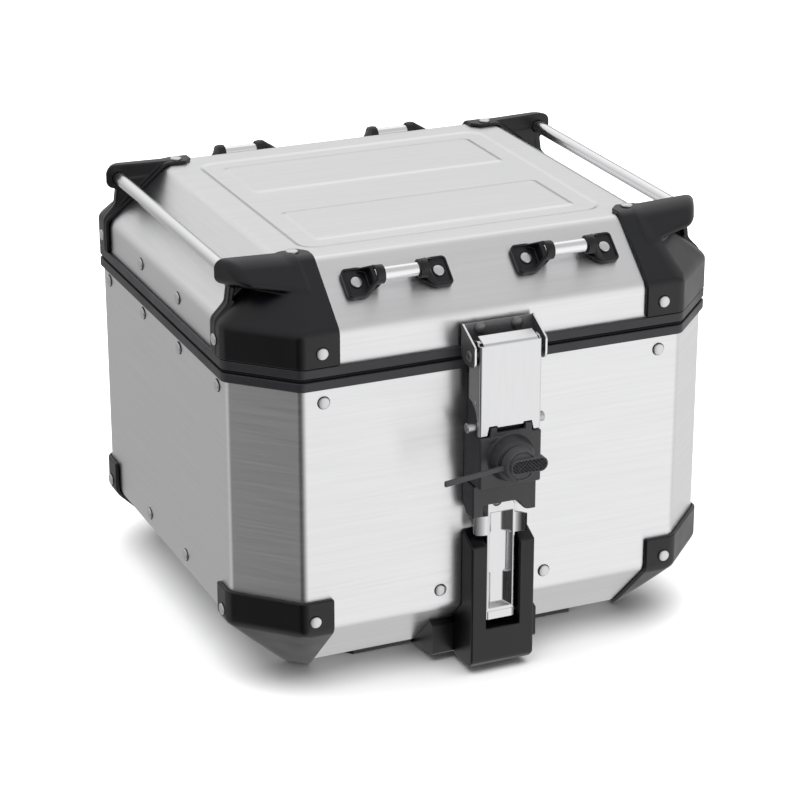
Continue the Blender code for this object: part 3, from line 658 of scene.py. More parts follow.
def rim_loft(name, profile, reach, look, body, node):
    """A profile of (offset from the wall, z) that runs all the way round the case."""
    rows = [wall_ring(offset, z) for offset, z in soft_profile(profile, reach)]
    bm = edited(*loft(rows, cyclic=True))[0]
    bmesh.ops.recalc_face_normals(bm, faces=bm.faces)
    obj = place(linked(name, mesh_of(name, *read_back(bm))), look, body, [node])
    shade = obj.modifiers.new("shade", "WEIGHTED_NORMAL")
    shade.mode = "FACE_AREA"
    return obj


TRIM_THICK = 1.3
TRIM_LIP = 6.0


def build_rims():
    for node, body, lip_high in (("body_trim", "case_body", True), ("lid_trim", "lid", False)):
        low, high = corners(node)
        out = high[0] - HALF_W
        outer_z, lip_z = (low[2], high[2]) if lip_high else (high[2], low[2])
        edge_z = lip_z - TRIM_THICK if lip_high else lip_z + TRIM_THICK
        profile = [(out, outer_z), (out, lip_z), (-TRIM_LIP, lip_z), (-TRIM_LIP, edge_z), (GAP, edge_z),
                   (GAP, outer_z)]
        rim_loft(node + "_profile", profile, 1.1, "rim_plastic", body, node)
    low, high = corners("rim_seal")
    out, inner = high[0] - HALF_W, -4.5
    profile = [(out, low[2]), (out, high[2]), (inner, high[2]), (inner, low[2])]
    rim_loft("rim_seal_cord", profile, 0.8, "seal_rubber", "case_body", "rim_seal")


# The lid's corner caps

def flat(x, d, z, normal, through):
    """Distance in front of a plane, in x, d and z."""
    size = math.sqrt(sum(n * n for n in normal))
    a, b, c = (n / size for n in normal)
    return a * (x - through[0]) + b * (d - through[1]) + c * (z - through[2])


def lid_solid(x, d, z, out, r):
    """The lid's outer form near a corner, moved out by out, with edges of radius r."""
    s = (x + d) / math.sqrt(2)
    rise = LID_TOP_Z - LID_FOLD_Z
    return meet(
        r,
        x - HALF_W - out,
        s - CORNER_S - out,
        d - HALF_D - out,
        flat(x, d, z, (rise, 0, HALF_W - TOP_HALF_W), (HALF_W, 0, LID_FOLD_Z)) - out,
        flat(s, d, z, (rise, 0, CORNER_S - TOP_CORNER_S), (CORNER_S, 0, LID_FOLD_Z)) - out,
        flat(x, d, z, (0, rise, HALF_D - TOP_HALF_D), (0, HALF_D, LID_FOLD_Z)) - out,
        z - LID_TOP_Z - out,
    )


HORN_START_X = 150.0
HORN_TOP = (HORN_START_X, 363.3)       # x and z where the horn's top starts to rise
HORN_TOP_SLOPE = 0.039
HORN_UNDER = 331.0                     # height of the underside at the web, at the horn's start
HORN_UNDER_X, HORN_UNDER_D = 0.226, 0.193      # how the underside rises outwards and forwards
HORN_END = (204.0, 158.0)              # a point of the slanted end, in x and d
WEB_THICK = 3.0
RIB_DEEP, RIB_THICK = 9.0, 3.6
BAR_SOCKET_DEEP = 7.8
bar_low, bar_high = corners("side_bar_right")
BAR_R = (bar_high[0] - bar_low[0]) / 2
BAR_X, BAR_Z = (bar_high[0] + bar_low[0]) / 2, (bar_high[2] + bar_low[2]) / 2


def web_edge(z):
    """The outer edge of the web: along the wall, then in an S up to the horn."""
    t = np.clip((z - 316.0) / 17.0, 0, 1)
    return HALF_W + CAP_OUT - 0.2 - 11.3 * t * t * (3 - 2 * t) - 2.0 * np.clip((z - 333.0) / 14.0, 0, 1)


def cap_field(x, y, z):
    d = -y
    skin = lid_solid(x, d, z, CAP_OUT, 3.2)
    inner = lid_solid(x, d, z, GAP, 1.6)
    far = 400.0
    plan = [(CAP_X, far), (far, far), (far, CAP_Y), (TOP_HALF_W - 2, CAP_Y - 1), (CAP_X + 7, CAP_Y - 2),
            (CAP_X, CAP_Y + 6)]
    skin = rmax(skin, outline(plan, x, d), 1.1)
    skin = rmax(skin, CAP_LOW_Z - z, 1.0)
    rise = LID_TOP_Z - LID_FOLD_Z
    under = HORN_UNDER + HORN_UNDER_X * (x - HORN_START_X) + HORN_UNDER_D * (d - WEB_Y) - z
    horn = rmax(z - HORN_TOP[1] - HORN_TOP_SLOPE * (x - HORN_TOP[0]),
                flat(x, d, z, (0.887, 0.464, 0), (*HORN_END, 0)), 8.0)
    horn = rmax(horn, under / math.hypot(1, HORN_UNDER_X, HORN_UNDER_D), 5.5)
    horn = rmax(horn, flat(x, d, z, (0, rise, HALF_D - TOP_HALF_D), (0, HALF_D, LID_FOLD_Z)) - CAP_OUT, 6.0)
    horn = meet(1.2, horn, WEB_Y - d, HORN_START_X - x)
    edge = (x - web_edge(z)) * 0.75
    web = meet(0.9, edge, WEB_Y - d, d - WEB_Y - WEB_THICK, CAP_LOW_Z - z, z - 352, HORN_START_X - x)
    rib = meet(1.1, edge, WEB_Y - d, d - WEB_Y - RIB_DEEP, CAP_LOW_Z - z, z - 352, -edge - RIB_THICK)
    whole = rmin(rmin(skin, rmin(web, rib, 1.5), 2.2), horn, 2.2)
    whole = rmax(whole, -inner, 0.15)
    bore = np.maximum(np.hypot(x - BAR_X, z - BAR_Z) - BAR_R - GAP, d - WEB_Y - BAR_SOCKET_DEEP)
    return rmax(whole, -bore, 0.4)


def guard_field(x, y, z):
    d = -y
    s = (x + d) / math.sqrt(2)

    def case(out, r):
        return meet(r, x - HALF_W - out, s - CORNER_S - out, d - HALF_D - out,
                    flat(x, d, z, (1, 0, -1), (HALF_W, 0, FOLD_Z)) - out,
                    flat(s, d, z, (1, 0, -1), (CORNER_S, 0, FOLD_Z)) - out,
                    flat(x, d, z, (0, 1, -1), (0, HALF_D, FOLD_Z)) - out,
                    BOTTOM_Z - z - out)

    region = meet(2.0, GUARD_X - x, GUARD_Y - d, (GUARD_X + GUARD_Y + 10 - x - d) / math.sqrt(2))
    whole = rmax(case(GUARD_OUT, 3.4), rmax(region, z - GUARD_TOP_Z, 2.0), 1.2)
    return rmax(whole, -case(GAP, 1.6), 0.15)


def build_corner_pieces():
    margin = np.array([2.0, 2.0, 2.0])
    cell = 1.0
    cap = moulded(cap_field, cap_low - margin, cap_high + margin, cell)
    guard = moulded(guard_field, guard_low - margin, guard_high + margin, cell)
    for where, signs in CORNER_SIGNS.items():
        moulding("cap_" + where, flipped(cap, *signs), "black_plastic", "lid", ["lid_cap_" + where])
        shape = flipped(guard, *signs)
        moulding("guard_" + where, shape, "black_plastic", "case_body", ["bottom_guard_" + where])


# Bars, handles and rivets

def round_bar(name, node, axis, look, body, cut=0.5):
    """A round bar along axis (0, 1 or 2) with a small chamfer at its ends, where a CAD node is."""
    low, high = corners(node)
    length = high[axis] - low[axis]
    radius = max(high[i] - low[i] for i in range(3) if i != axis) / 2
    centre = (low + high) / 2
    centre[axis] = low[axis]
    direction = [1.0 if i == axis else 0.0 for i in range(3)]
    profile = [(radius - cut, 0), (radius, cut), (radius, length - cut), (radius - cut, length)]
    return turned(name, profile, centre, direction, look, body, [node])


SLOPE_RUN, SLOPE_RISE = HALF_D - TOP_HALF_D, LID_TOP_Z - LID_FOLD_Z
SLOPE_LENGTH = math.hypot(SLOPE_RUN, SLOPE_RISE)
HANDLE_V = 38.6                # the rod, measured up the slope from the fold
ROD_H = 12.5                   # the rod's axis above the slope
SOCKET_S = 15.0                # face of a foot's collar, from the middle of the handle
SOCKET_R = 7.8
SOCKET_DEEP = 8.0
FOOT_END_S = 45.5
FOOT_HALF = 13.5
FOOT_H = 5.5
POCKET_FLOOR = 4.0
RIVET_S = 35.5
rod_low, rod_high = corners("handle_rod_front_right")
HANDLE_X = (rod_low[0] + rod_high[0]) / 2
ROD_R = 5.6


def foot_field(s, v, h):
    """A handle's foot: s from the handle's middle, v up the slope and h above it."""
    wide = np.abs(v)
    collar = np.hypot(v, h - ROD_H) - SOCKET_R
    ridge = flat(s, v, h, (0.78, 0, 0.626), (20.5, 0, ROD_H + SOCKET_R))
    flank = flat(s, wide, h, (-0.088, 0.931, 0.354), (20, 7.8, 14))
    taper = flat(s, wide, h, (-0.495, 0.869, 0), (20, 7.8, 0))
    under = flat(s, v, h, (-0.282, 0, -0.96), (15, 0, 4.7))
    plan = rmax(rmax(wide - FOOT_HALF, s - FOOT_END_S, 4.0), taper, 1.5)
    sides = rmax(plan, flank, 1.0)
    block = meet(1.2, sides, ridge, GAP - h, under)
    front = rmax(block, SOCKET_S + 2 - s, 1.0)
    ring = meet(0.8, collar, SOCKET_S - s, s - 22.5)
    foot = rmin(rmax(front, collar - 1.2 * np.maximum(s - 21.5, 0), 1.0), ring, 1.0)
    foot = rmin(foot, meet(1.2, plan, h - FOOT_H, GAP - h, under), 1.2)
    inset = 2.0
    hollow = rmax(rmax(wide - FOOT_HALF + inset, s - FOOT_END_S + inset, 2.5), taper + inset + 0.4, 1.2)
    hollow = meet(1.0, hollow, flank + inset - 0.3, POCKET_FLOOR - h, 25.2 - s)
    bore = np.maximum(np.hypot(v, h - ROD_H) - ROD_R - GAP, s - SOCKET_S - SOCKET_DEEP)
    foot = rmax(foot, -hollow, 0.7)
    return rmax(foot, -bore, 0.3)


def on_slope(x, side):
    """Turns (s, v, h) of a handle about x into case coordinates: a 3x3 matrix and an offset."""
    run, rise = SLOPE_RUN / SLOPE_LENGTH, SLOPE_RISE / SLOPE_LENGTH
    turn = np.array([[1, 0, 0], [0, -side * run, side * rise], [0, rise, run]])
    base = np.array([x, side * HALF_D, LID_FOLD_Z]) + turn @ np.array([0, HANDLE_V, 0])
    return turn, base


def build_handles():
    low = (SOCKET_S - 2, -FOOT_HALF - 1.5, -1.5)
    high = (FOOT_END_S + 1.5, FOOT_HALF + 1.5, ROD_H + SOCKET_R + 1.5)
    points, faces, normals = moulded(foot_field, low, high, 0.5)
    for edge, side in (("front", -1), ("back", 1)):
        for where, x in (("left", -HANDLE_X), ("right", HANDLE_X)):
            turn, base = on_slope(x, side)
            for label, way in (("a", -1), ("b", 1)):
                mirror = turn @ np.diag([way, 1, 1])
                shown = faces if np.linalg.det(mirror) > 0 else [f[::-1] for f in faces]
                shape = (points @ mirror.T + base, shown, normals @ mirror.T)
                node = f"handle_bracket_{edge}_{where}_{label}"
                moulding(f"handle_foot_{edge}_{where}_{label}", shape, "black_plastic", "lid", [node])
                spot = mirror @ np.array([RIVET_S, 0, POCKET_FLOOR]) + base
                rivet(f"foot_rivet_{edge}_{where}_{label}", spot, turn[:, 2], "lid")
            round_bar(f"handle_bar_{edge}_{where}", f"handle_rod_{edge}_{where}", 0, "satin_rod", "lid")


def rivet_mesh():
    """A domed head over a thin dark ring, standing on the origin along +Z."""
    head_r, head_h, ring_r = 4.9, 2.2, 5.5
    quarter = np.linspace(0, math.pi / 2, 6)
    edge = [(head_r - 1.1 + 1.1 * math.cos(a), 0.8 + 1.0 * math.sin(a)) for a in quarter]
    crown = [(r, head_h - 0.4 * (r / head_r) ** 2) for r in (3.0, 2.0, 1.0)]
    head, head_faces = lathe([(head_r - 0.3, 0.05), (head_r, 0.3)] + edge + crown + [(0, head_h)], 32)
    rim = [(ring_r, 0.02), (ring_r - 0.1, 0.35), (ring_r - 0.5, 0.5), (head_r - 0.6, 0.5)]
    ring, ring_faces = lathe(rim, 32)
    faces = head_faces + [[i + len(head) for i in f] for f in ring_faces]
    mesh = mesh_of("rivet", np.concatenate([head, ring]), faces)
    mesh.set_sharp_from_angle(angle=math.radians(40))
    mesh.materials.append(LOOKS["rivet_metal"])
    mesh.materials.append(LOOKS["seal_rubber"])
    for polygon in mesh.polygons[len(head_faces):]:
        polygon.material_index = 1
    return mesh


RIVET_MESH = rivet_mesh()


def rivet(name, spot, axis, body, node=None):
    obj = linked(name, RIVET_MESH)
    turn = Vector(axis).to_track_quat("Z", "Y").to_matrix().to_4x4()
    obj.matrix_world = Matrix.Translation(Vector(spot) * MM) @ turn
    return place(obj, "rivet_metal", body, [node] if node else ())


WALL_RIVETS = [
    # name, axis across the wall, places along it, height, body
    ("wall_rivet_{}_{}", 0, (-138, -46, 46, 138), 260, "case_body"),
    ("low_wall_rivet_{}_{}", 0, (-47, 47), 72, "case_body"),
    ("lid_wall_rivet_{}_{}", 0, (-47, 47), 304, "lid"),
    ("high_{}_rivet_{}", 1, (-149.5, 149.5), 257.7, "case_body"),
    ("low_{}_rivet_{}", 1, (-47.5, 47.5), 74.7, "case_body"),
]


def build_rivets():
    for where, (sign_x, sign_y) in CORNER_SIGNS.items():
        for label, axis in (("front", (0, -sign_y, 0)), ("side", (sign_x, 0, 0)), ("top", (0, 0, 1))):
            node = f"cap_rivet_{where}_{label}"
            low, high = corners(node)
            spot = (low + high) / 2
            along = int(np.argmax(np.abs(axis)))
            spot[along] = (low if sum(axis) > 0 else high)[along] - GAP * sum(axis)
            rivet(f"cap_{label}_rivet_{where}", spot, axis, "lid", node)
        on_front = (sign_x * 160, -sign_y * (HALF_D + GUARD_OUT), 69)
        on_side = (sign_x * (HALF_W + GUARD_OUT), -sign_y * 146, 66)
        rivet(f"guard_front_rivet_{where}", on_front, (0, -sign_y, 0), "case_body")
        rivet(f"guard_side_rivet_{where}", on_side, (sign_x, 0, 0), "case_body")
    sides = (("left", -1), ("right", 1)), (("front", -1), ("back", 1))
    for name, axis, spread, height, body in WALL_RIVETS:
        for where, side in sides[axis]:
            for i, along in enumerate(spread):
                spot = (side * HALF_W, along, height) if axis == 0 else (along, side * HALF_D, height)
                rivet(name.format(where, i), spot, (side, 0, 0) if axis == 0 else (0, side, 0), body)


def build_bars():
    for where in ("left", "right"):
        round_bar("side_rail_" + where, "side_bar_" + where, 1, "satin_rod", "lid")


# The latch

tower_low, tower_high = corners("base_latch_housing")
TOWER_HALF, TOWER_D, TOWER_LOW_Z, TOWER_TOP_Z = tower_high[0], -tower_low[1], tower_low[2], tower_high[2]
TOWER_BACK_D = -tower_high[1]
WALL_D = HALF_D + GAP
WINDOW_HALF, WINDOW_Z = 15.0, 41.5


def tower_field(x, y, z):
    d = -y
    wide = np.abs(x)
    shoulder = flat(x, d, z, (0, 10, 20.7), (0, TOWER_D, TOWER_TOP_Z - 10))
    heel = flat(x, d, z, (0, 1, -1), (0, TOWER_D, TOWER_LOW_Z + 6))
    block = meet(1.6, wide - TOWER_HALF, d - TOWER_D, shoulder, TOWER_LOW_Z - z, heel)
    block = meet(0.5, block, TOWER_BACK_D - d)
    case = np.maximum(d - WALL_D, flat(x, d, z, (0, 1, -1), (0, HALF_D, FOLD_Z)) - GAP)
    window = meet(0.5, wide - WINDOW_HALF, WALL_D + 1.7 - d, WINDOW_Z - z)
    return rmax(np.maximum(block, -case), -window, 0.6)


def bridge_field(x, y, z):
    d = -y
    low, high = corners("lever_bridge")
    bottom, top = low[2], high[2]
    arch = bottom + 10
    line = [(-TOWER_HALF, bottom), (-19, bottom)] + arc((-16.5, arch - 2.5), 2.5, 180, 90, 3)
    line += [(8, arch)] + arc((8, arch - 7), 7, 80, 25, 4) + arc((23, bottom + 8), 8, 215, 270, 5)
    line += [(TOWER_HALF, bottom), (TOWER_HALF, top), (-TOWER_HALF, top)]
    plate = rmax(outline(line, x, z), slab(d, WALL_D, TOWER_D), 1.3)
    heel = flat(x, d, z, (0, 1, 1), (0, WALL_D + 3, bottom + 5))
    return rmax(plate, -heel, 0.8)


lock_low, lock_high = corners("lock_body")
LOCK_HALF, LOCK_LOW_Z = lock_high[0], lock_low[2]
LOCK_Z, LOCK_D, LOCK_HIGH_Z = 198.0, 233.0, 217.8
NECK_HALF, NECK_TOP_Z, NECK_D = 24.9, lock_high[2], 227.0
CATCH_D, CATCH_Z = across("catch_pin")
CATCH_R = corners("catch_pin")[1][2] - CATCH_Z
NOTCH_X = (-15.1, 15.7)


def lock_field(x, y, z):
    d = -y
    wide = np.abs(x)
    block = meet(1.6, wide - LOCK_HALF, d - LOCK_D, LOCK_LOW_Z - z, z - LOCK_HIGH_Z)
    tabs = np.full(x.shape, 1e3)
    for centre in NOTCH_X:
        edge = np.abs(x - centre) - 3.5 + 0.09 * (z - LOCK_HIGH_Z)
        tab = meet(0.7, edge, z - LOCK_HIGH_Z - 7.9, slab(d, LOCK_D - 3.4, LOCK_D - 0.1))
        tabs = np.minimum(tabs, np.maximum(tab, LOCK_HIGH_Z - 4 - z))
    sill = meet(0.6, slab(x, *NOTCH_X), z - LOCK_HIGH_Z - 3.2, slab(d, LOCK_D - 3.4, LOCK_D - 0.1))
    tabs = np.minimum(tabs, np.maximum(sill, LOCK_HIGH_Z - 4 - z))
    neck = meet(1.4, wide - NECK_HALF, d - NECK_D, LOCK_HIGH_Z - 4 - z, z - NECK_TOP_Z,
                flat(x, d, z, (0, 20, 9), (0, NECK_D, NECK_TOP_Z - 20)))
    around = np.hypot(x, z - LOCK_Z)
    boss = rmax((around - 20.2 + 0.32 * (d - LOCK_D)) * 0.95, d - LOCK_D - 11.9, 2.6)
    whole = rmin(rmin(rmin(block, neck, 0.8), tabs, 0.8), np.maximum(boss, LOCK_D - 3 - d), 1.0)
    whole = np.maximum(whole, WALL_D - d)
    bore = np.maximum(around - 8.3, LOCK_D - 15 - d)
    chamber = np.maximum(slab(x, -18, 18), np.maximum(slab(z - LOCK_Z, -17, 17), d - LOCK_D + 10))
    pin = np.hypot(d - CATCH_D, z - CATCH_Z) - CATCH_R - GAP
    return rmax(rmax(whole, -np.minimum(bore, chamber), 0.3), -pin, 0.4)


cover_low, cover_high = corners("latch_cover")
COVER_HALF, COVER_D, COVER_LOW_Z = cover_high[0], -cover_low[1], cover_low[2]
COVER_THICK = 1.4
COVER_FOLD_Z = 296.8
PIVOT_D, PIVOT_Z = across("cover_pin")


def cover_field(x, y, z):
    """A folded channel: front sheet, two flanges and a narrower lip along the top."""
    d = -y
    wide = np.abs(x)

    def channel(inset, r):
        top = flat(x, d, z, (0, 4.0, 12.4), (0, COVER_D, COVER_FOLD_Z))
        return meet(r, wide - COVER_HALF + inset, d - COVER_D + inset, top + inset)

    shell = rmax(channel(0, 2.2), -channel(COVER_THICK, 0.9), 0.25)
    side = [(COVER_D + 5, COVER_LOW_Z), (COVER_D + 5, COVER_FOLD_Z - 2.5), (COVER_D - 3, COVER_FOLD_Z - 2.5)]
    side += arc((PIVOT_D, PIVOT_Z), 12, 75, 180, 8)
    side += [(PIVOT_D - 12, CATCH_Z + 20.8)] + arc((PIVOT_D - 12, CATCH_Z + 5.8), 15, 75, 5, 6)
    side += [(COVER_D - 4.2, CATCH_Z - 1.2), (COVER_D - 4.2, COVER_LOW_Z)]
    flange = np.maximum(outline(side, d, z), COVER_HALF - 3.2 - wide)
    lip = np.maximum(wide - 24, np.maximum(219 - d, COVER_FOLD_Z - 6 - z))
    tooth, raised, notch_top, far = 3.9, COVER_LOW_Z + 6.1, COVER_LOW_Z + 7.9, COVER_HALF + 5
    left, right = NOTCH_X
    line = [(-far, COVER_LOW_Z), (left - tooth - 1.2, COVER_LOW_Z), (left - tooth + 0.6, notch_top),
            (left + tooth - 0.6, notch_top), (left + tooth, raised), (right - tooth, raised),
            (right - tooth + 0.6, notch_top), (right + tooth - 0.6, notch_top),
            (right + tooth + 1.2, COVER_LOW_Z), (far, COVER_LOW_Z), (far, COVER_FOLD_Z - 1),
            (-far, COVER_FOLD_Z - 1)]
    front = np.maximum(outline(line, x, z), COVER_D - 3.2 - d)
    return rmax(shell, np.minimum(np.minimum(flange, lip), front), 0.25)


LEVER_D = (215.4, 217.2)
LEVER_HALF, LEVER_FOOT_Z = 12.7, 45.7
LEVER_TOP_Z = corners("release_lever")[1][2]
EAR_Z = (124.0, 141.5)
PAN_DEEP = 4.8
PAN_Z = (57.0, 144.0)
PAN_STEP_Z = 88.0              # below this the pan's floor is narrower
LEVER_PIN_D, LEVER_PIN_Z = across("lever_pin")


def lever_field(x, y, z):
    """A pressed strip: a flat frame with a sunk pan, two swept ears and a rolled eye at its foot."""
    d = -y + 0.03 * np.maximum(-x - 13, 0) ** 2 - 0.05 * np.maximum(x - 11.5, 0) ** 2
    back, front = LEVER_D
    half, top = LEVER_HALF, LEVER_TOP_Z
    ear_low, ear_high = EAR_Z
    line = [(-half, LEVER_FOOT_Z + 1), (half, LEVER_FOOT_Z + 1), (half, ear_low - 1.5), (21, ear_low),
            (22, ear_low + 2), (22, ear_high - 1.5), (half - 0.5, ear_high), (half - 0.5, top - 4),
            (half - 3, top), (1.5, top)]
    line += arc((-4, top), 4.2, -15, -165, 6)
    line += [(-half + 2.5, top), (-half + 0.5, top - 2), (-half + 0.5, ear_high), (-23, ear_high),
             (-23.5, ear_low + 2), (-21.5, ear_low), (-half, ear_low)]
    strip = rmax(outline(line, x, z), slab(d, back, front), 0.5)
    deep = front - d

    def pan(inset, floor):
        """The pan's inside; inset is negative for its outside."""
        low_part = np.clip((PAN_STEP_Z - z) / 2.5 + 0.5, 0, 1)
        high_part = np.clip((z - ear_low) / 2.0 + 0.5, 0, 1)
        reach = np.clip(deep / PAN_DEEP, 0, 1.3)
        right = x + (3.6 + 2.6 * low_part + 4.6 * high_part) * reach
        left = -x + (1.4 + 2.0 * low_part + 2.0 * high_part) * reach
        ends = np.maximum(PAN_Z[0] + 0.75 * deep - z, z - PAN_Z[1] + 0.5 * deep) + inset
        sides = np.maximum(right, left) - half + 2.2 + inset
        return meet(0.5, sides * 0.75, ends * 0.8, deep - floor)

    shell = meet(0.5, pan(-1.5, PAN_DEEP + 1.4), d - front)
    eye = rmax(np.hypot(y + LEVER_PIN_D, z - LEVER_PIN_Z) - 4.0, np.abs(x) - half, 0.5)
    plate = meet(0.8, np.abs(x) - half + 1.2, slab(z, LEVER_FOOT_Z + 0.8, 54.5),
                 slab(d, LEVER_PIN_D, front + 0.5))
    solid = rmin(rmin(rmin(strip, shell, 0.4), eye, 0.6), plate, 0.3)
    mouth = meet(0.4, pan(0, PAN_DEEP), d - front - 3)
    solid = rmax(solid, -mouth, 0.35)
    return rmax(solid, 2.3 - np.hypot(y + LEVER_PIN_D, z - LEVER_PIN_Z), 0.3)


dust_low, dust_high = corners("lock_dust_cap")
CAP_BACK_D = -dust_high[1]
STRAP_TIP_X, STRAP_DROP = dust_low[0], 7.0
TAB_R, TAB_THICK, TAB_X = 6.3, 3.4, (-4.2, 16.0)


def dust_cap_field(x, y, z):
    """The keyhole's cap: a ticked disc, a knurled thumb tab across it and a strap to the left."""
    d = -y - CAP_BACK_D
    up = z - LOCK_Z
    around = np.hypot(x, up)
    disc_front = 8.6
    disc = rmax((around - 14.6 + 0.16 * d) * 0.98, slab(d, 0, disc_front), 0.9)
    ring = np.abs(around - 11.2) - 0.35
    ticks = np.minimum(np.abs(x * 0.94 - up * 0.34), np.abs(x * 0.42 + up * 0.91)) - 0.3
    groove = np.maximum(np.minimum(ring, np.maximum(ticks, 11.2 - around)), disc_front - 0.5 - d)
    disc = rmax(disc, -groove, 0.15)
    tab = np.hypot(x - np.clip(x, *TAB_X), up) - TAB_R
    front = disc_front - 1.1 + TAB_THICK
    pitch, cut = 3.1, 1.7
    pits = cut * np.abs(np.sin(math.pi * (x + up) / pitch) * np.sin(math.pi * (x - up) / pitch))
    pits = np.where((tab < -1.2) & (d > front - 2), pits, 0)
    tab = rmax(tab, slab(d, 2.0, front) + pits, 0.7)
    behind_disc = np.maximum(tab, 3.5 - d)
    share = np.clip(-x / -STRAP_TIP_X, 0, 1)
    strap = slab(up + STRAP_DROP * share, -1.9 - 0.4 * share, 1.6 + 0.6 * share)
    strap = meet(0.7, strap, slab(d, 0.8, 4.0), slab(x, STRAP_TIP_X, -8))
    return rmin(rmin(disc, behind_disc, 0.4), strap, 0.6)


def build_latch():
    jobs = [
        ("latch_tower", tower_field, "base_latch_housing", 1.0, "black_plastic", "case_body"),
        ("latch_bridge", bridge_field, "lever_bridge", 0.8, "lock_plastic", "case_body"),
        ("lock_housing", lock_field, "lock_body", 0.8, "lock_plastic", "case_body"),
        ("cover_sheet", cover_field, "latch_cover", 0.5, "cover_steel", "cover"),
        ("lever_pressing", lever_field, "release_lever", 0.5, "cover_steel", "lever"),
        ("dust_cap", dust_cap_field, "lock_dust_cap", 0.45, "cap_rubber", "lock"),
    ]
    for name, field, node, cell, look, body in jobs:
        low, high = corners(node)
        shape = moulded(field, low - 8 * cell, high + 8 * cell, cell * (1))
        moulding(name, shape, look, body, [node])
    # The bracket's coating ends at its sheared edges: the narrow faces in front of its back plate
    bracket = dress("latch_bracket", "dark_steel", 0.35)
    bracket.data.materials.append(CUT_EDGE)
    for polygon in bracket.data.polygons:
        forward = polygon.center.y < -(HALF_D + 5.4) * MM
        polygon.material_index = int(abs(polygon.normal.x) < 0.5 and forward and polygon.area < 1e-3)
    round_bar("catch_bar", "catch_pin", 0, "lock_metal", "case_body", 0.8)
    head, end = 4.6, EAR_HALF + GAP
    profile = [(0, -end - 1.6), (head - 2.0, -end - 1.6), (head - 1.6, -end - 2.0), (head - 1, -end - 2),
               (head, -end - 1), (head, -end), (2.4, -end), (2.4, end), (head, end), (head, end + 1),
               (head - 1, end + 2), (0, end + 2)]
    turned("cover_axle", profile, (0, -PIVOT_D, PIVOT_Z), (1, 0, 0), "dark_steel", "lid", ["cover_pin"])
    turned("flange_screw", [(2.7, -0.2), (2.7, 0.3), (2.2, 0.7), (0.9, 0.7), (0.7, 0.3), (0, 0.3)],
           (-COVER_HALF, -222, 245), (-1, 0, 0), "lock_metal", "cover")
    for where in ("left", "right"):
        low, high = corners("bracket_rivet_" + where)
        centre = ((low[0] + high[0]) / 2, high[1] + GAP, (low[2] + high[2]) / 2)
        dome = [(5.3 * math.cos(a), 0.6 + 2.0 * math.sin(a)) for a in np.linspace(0, math.pi / 2, 8)]
        profile = [(5.3, 0.05)] + dome[:-1] + [(0, 2.6)]
        turned("bracket_stud_" + where, profile, centre, (0, -1, 0), "dark_steel", "lid",
               ["bracket_rivet_" + where])
    round_bar("lever_axle", "lever_pin", 0, "lock_metal", "case_body", 0.3)
    dress("lock_plug", "lock_metal", 0.4)


EAR_HALF = 32.0


def build_hinges():
    for where in ("left", "right"):
        dress("hinge_leaf_body_" + where, "dark_steel", 0.5)
        dress("hinge_leaf_lid_" + where, "dark_steel", 0.5)
        round_bar("hinge_axle_" + where, "hinge_pin_" + where, 0, "lock_metal", "case_body", 0.4)


def build_case():
    build_body_shell()
    build_lid_shell()
    build_rims()
    build_corner_pieces()
    build_bars()
    build_handles()
    build_rivets()
    build_latch()
    build_hinges()
    dress("base_plate", "black_plastic", 1.2, 3)


# Studio

FLOOR_HALF = 40.0


def build_floor():
    mesh = bpy.data.meshes.new("floor")
    plan = [(-1, -1), (1, -1), (1, 1), (-1, 1)]
    mesh.from_pydata([(FLOOR_HALF * x, FLOOR_HALF * y, 0) for x, y in plan], [], [(0, 1, 2, 3)])
    floor = linked("floor", mesh)
    made, tree, shader = new_look("floor", (0.72, 0.72, 0.72), 0.0, 0.9)
    shader.inputs["Specular IOR Level"].default_value = 0.1
    mesh.materials.append(made)
    floor.visible_glossy = False


WORLD_BASE = 0.62
WORLD_LOBES = [
    # direction, half angle in degrees, brightness added
    ((0.40, -0.83, -0.37), 62, 0.47),
    ((-0.37, 0.85, -0.37), 60, -0.19),
    ((-0.55, -0.74, -0.37), 58, -0.60),
    ((0.37, 0.85, 0.37), 60, 0.18),
    ((0.37, 0.55, 0.74), 35, 0.36),
    ((0.45, 0.88, -0.08), 24, -0.6),
    ((0.85, 0.37, -0.37), 50, 0.18),
    ((-0.31, 0.85, 0.42), 40, 0.16),
]


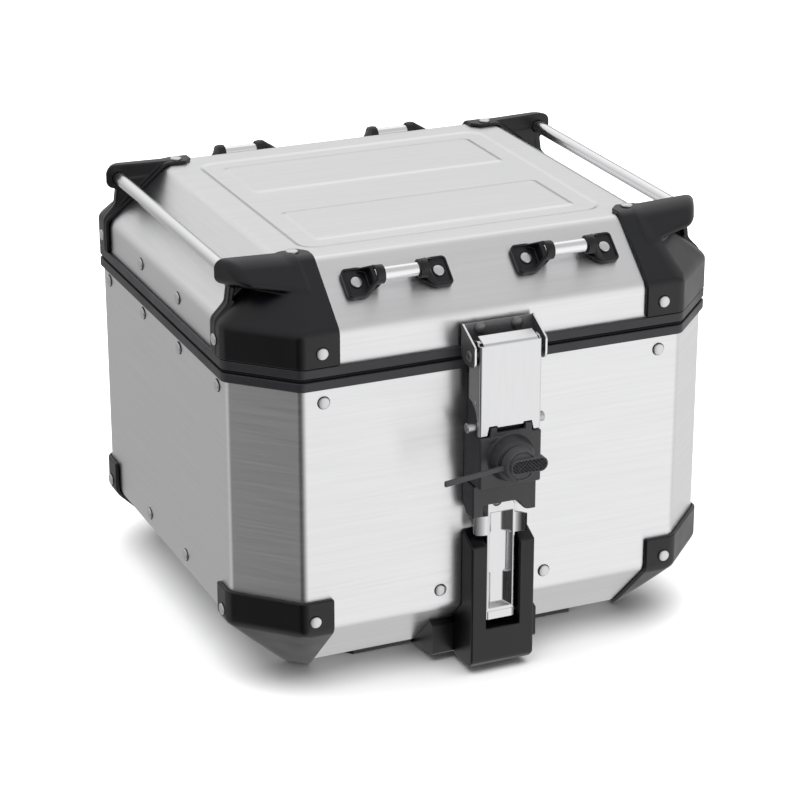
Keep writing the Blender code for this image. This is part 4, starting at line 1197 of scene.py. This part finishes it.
def build_world():
    """A soft white surround: a base brightness with broad, soft patches of more or less light."""
    world = bpy.data.worlds.new("surround")
    bpy.context.scene.world = world
    world.use_nodes = True
    tree = world.node_tree
    background = tree.nodes["Background"]
    place_node = tree.nodes.new("ShaderNodeTexCoord")
    total = None
    for direction, half_angle, gain in WORLD_LOBES:
        dot = tree.nodes.new("ShaderNodeVectorMath")
        dot.operation = "DOT_PRODUCT"
        dot.inputs[1].default_value = Vector(direction).normalized()
        tree.links.new(place_node.outputs["Generated"], dot.inputs[0])
        soft = mapped(tree, dot.outputs["Value"], 0.0, gain, math.cos(math.radians(half_angle)), 1.0)
        soft.node.interpolation_type = "SMOOTHSTEP"
        add = tree.nodes.new("ShaderNodeMath")
        add.operation = "ADD"
        if total is None:
            add.inputs[1].default_value = WORLD_BASE
        else:
            tree.links.new(total, add.inputs[1])
        tree.links.new(soft, add.inputs[0])
        total = add.outputs[0]
    tree.links.new(total, background.inputs["Color"])
    background.inputs["Strength"].default_value = 1.0


LIGHT_HEIGHT, LIGHT_SIZE, LIGHT_POWER = 6.0, 9.5, 1200


def build_light():
    """A broad softbox straight overhead, which the metals don't reflect."""
    data = bpy.data.lights.new("overhead", "AREA")
    data.shape = "SQUARE"
    data.size = LIGHT_SIZE
    data.energy = LIGHT_POWER
    light = linked("overhead", data)
    light.location = (0, 0, LIGHT_HEIGHT)
    light.visible_glossy = False


CAMERA_PLACE = (-0.89938, -2.06527, 1.06232)
CAMERA_TILT, CAMERA_TURN = 21.7811, 23.6373    # degrees down, and round from the front to the left
CAMERA_LENS, SENSOR = 123.548, 36.0


def build_camera():
    data = bpy.data.cameras.new("camera")
    data.lens = CAMERA_LENS
    data.sensor_width = SENSOR
    camera = linked("camera", data)
    camera.location = CAMERA_PLACE
    camera.rotation_euler = (math.radians(90 - CAMERA_TILT), 0, -math.radians(CAMERA_TURN))
    bpy.context.scene.camera = camera


build_case()
build_floor()
build_world()
build_light()
build_camera()
bpy.context.scene.view_settings.view_transform = "Standard"
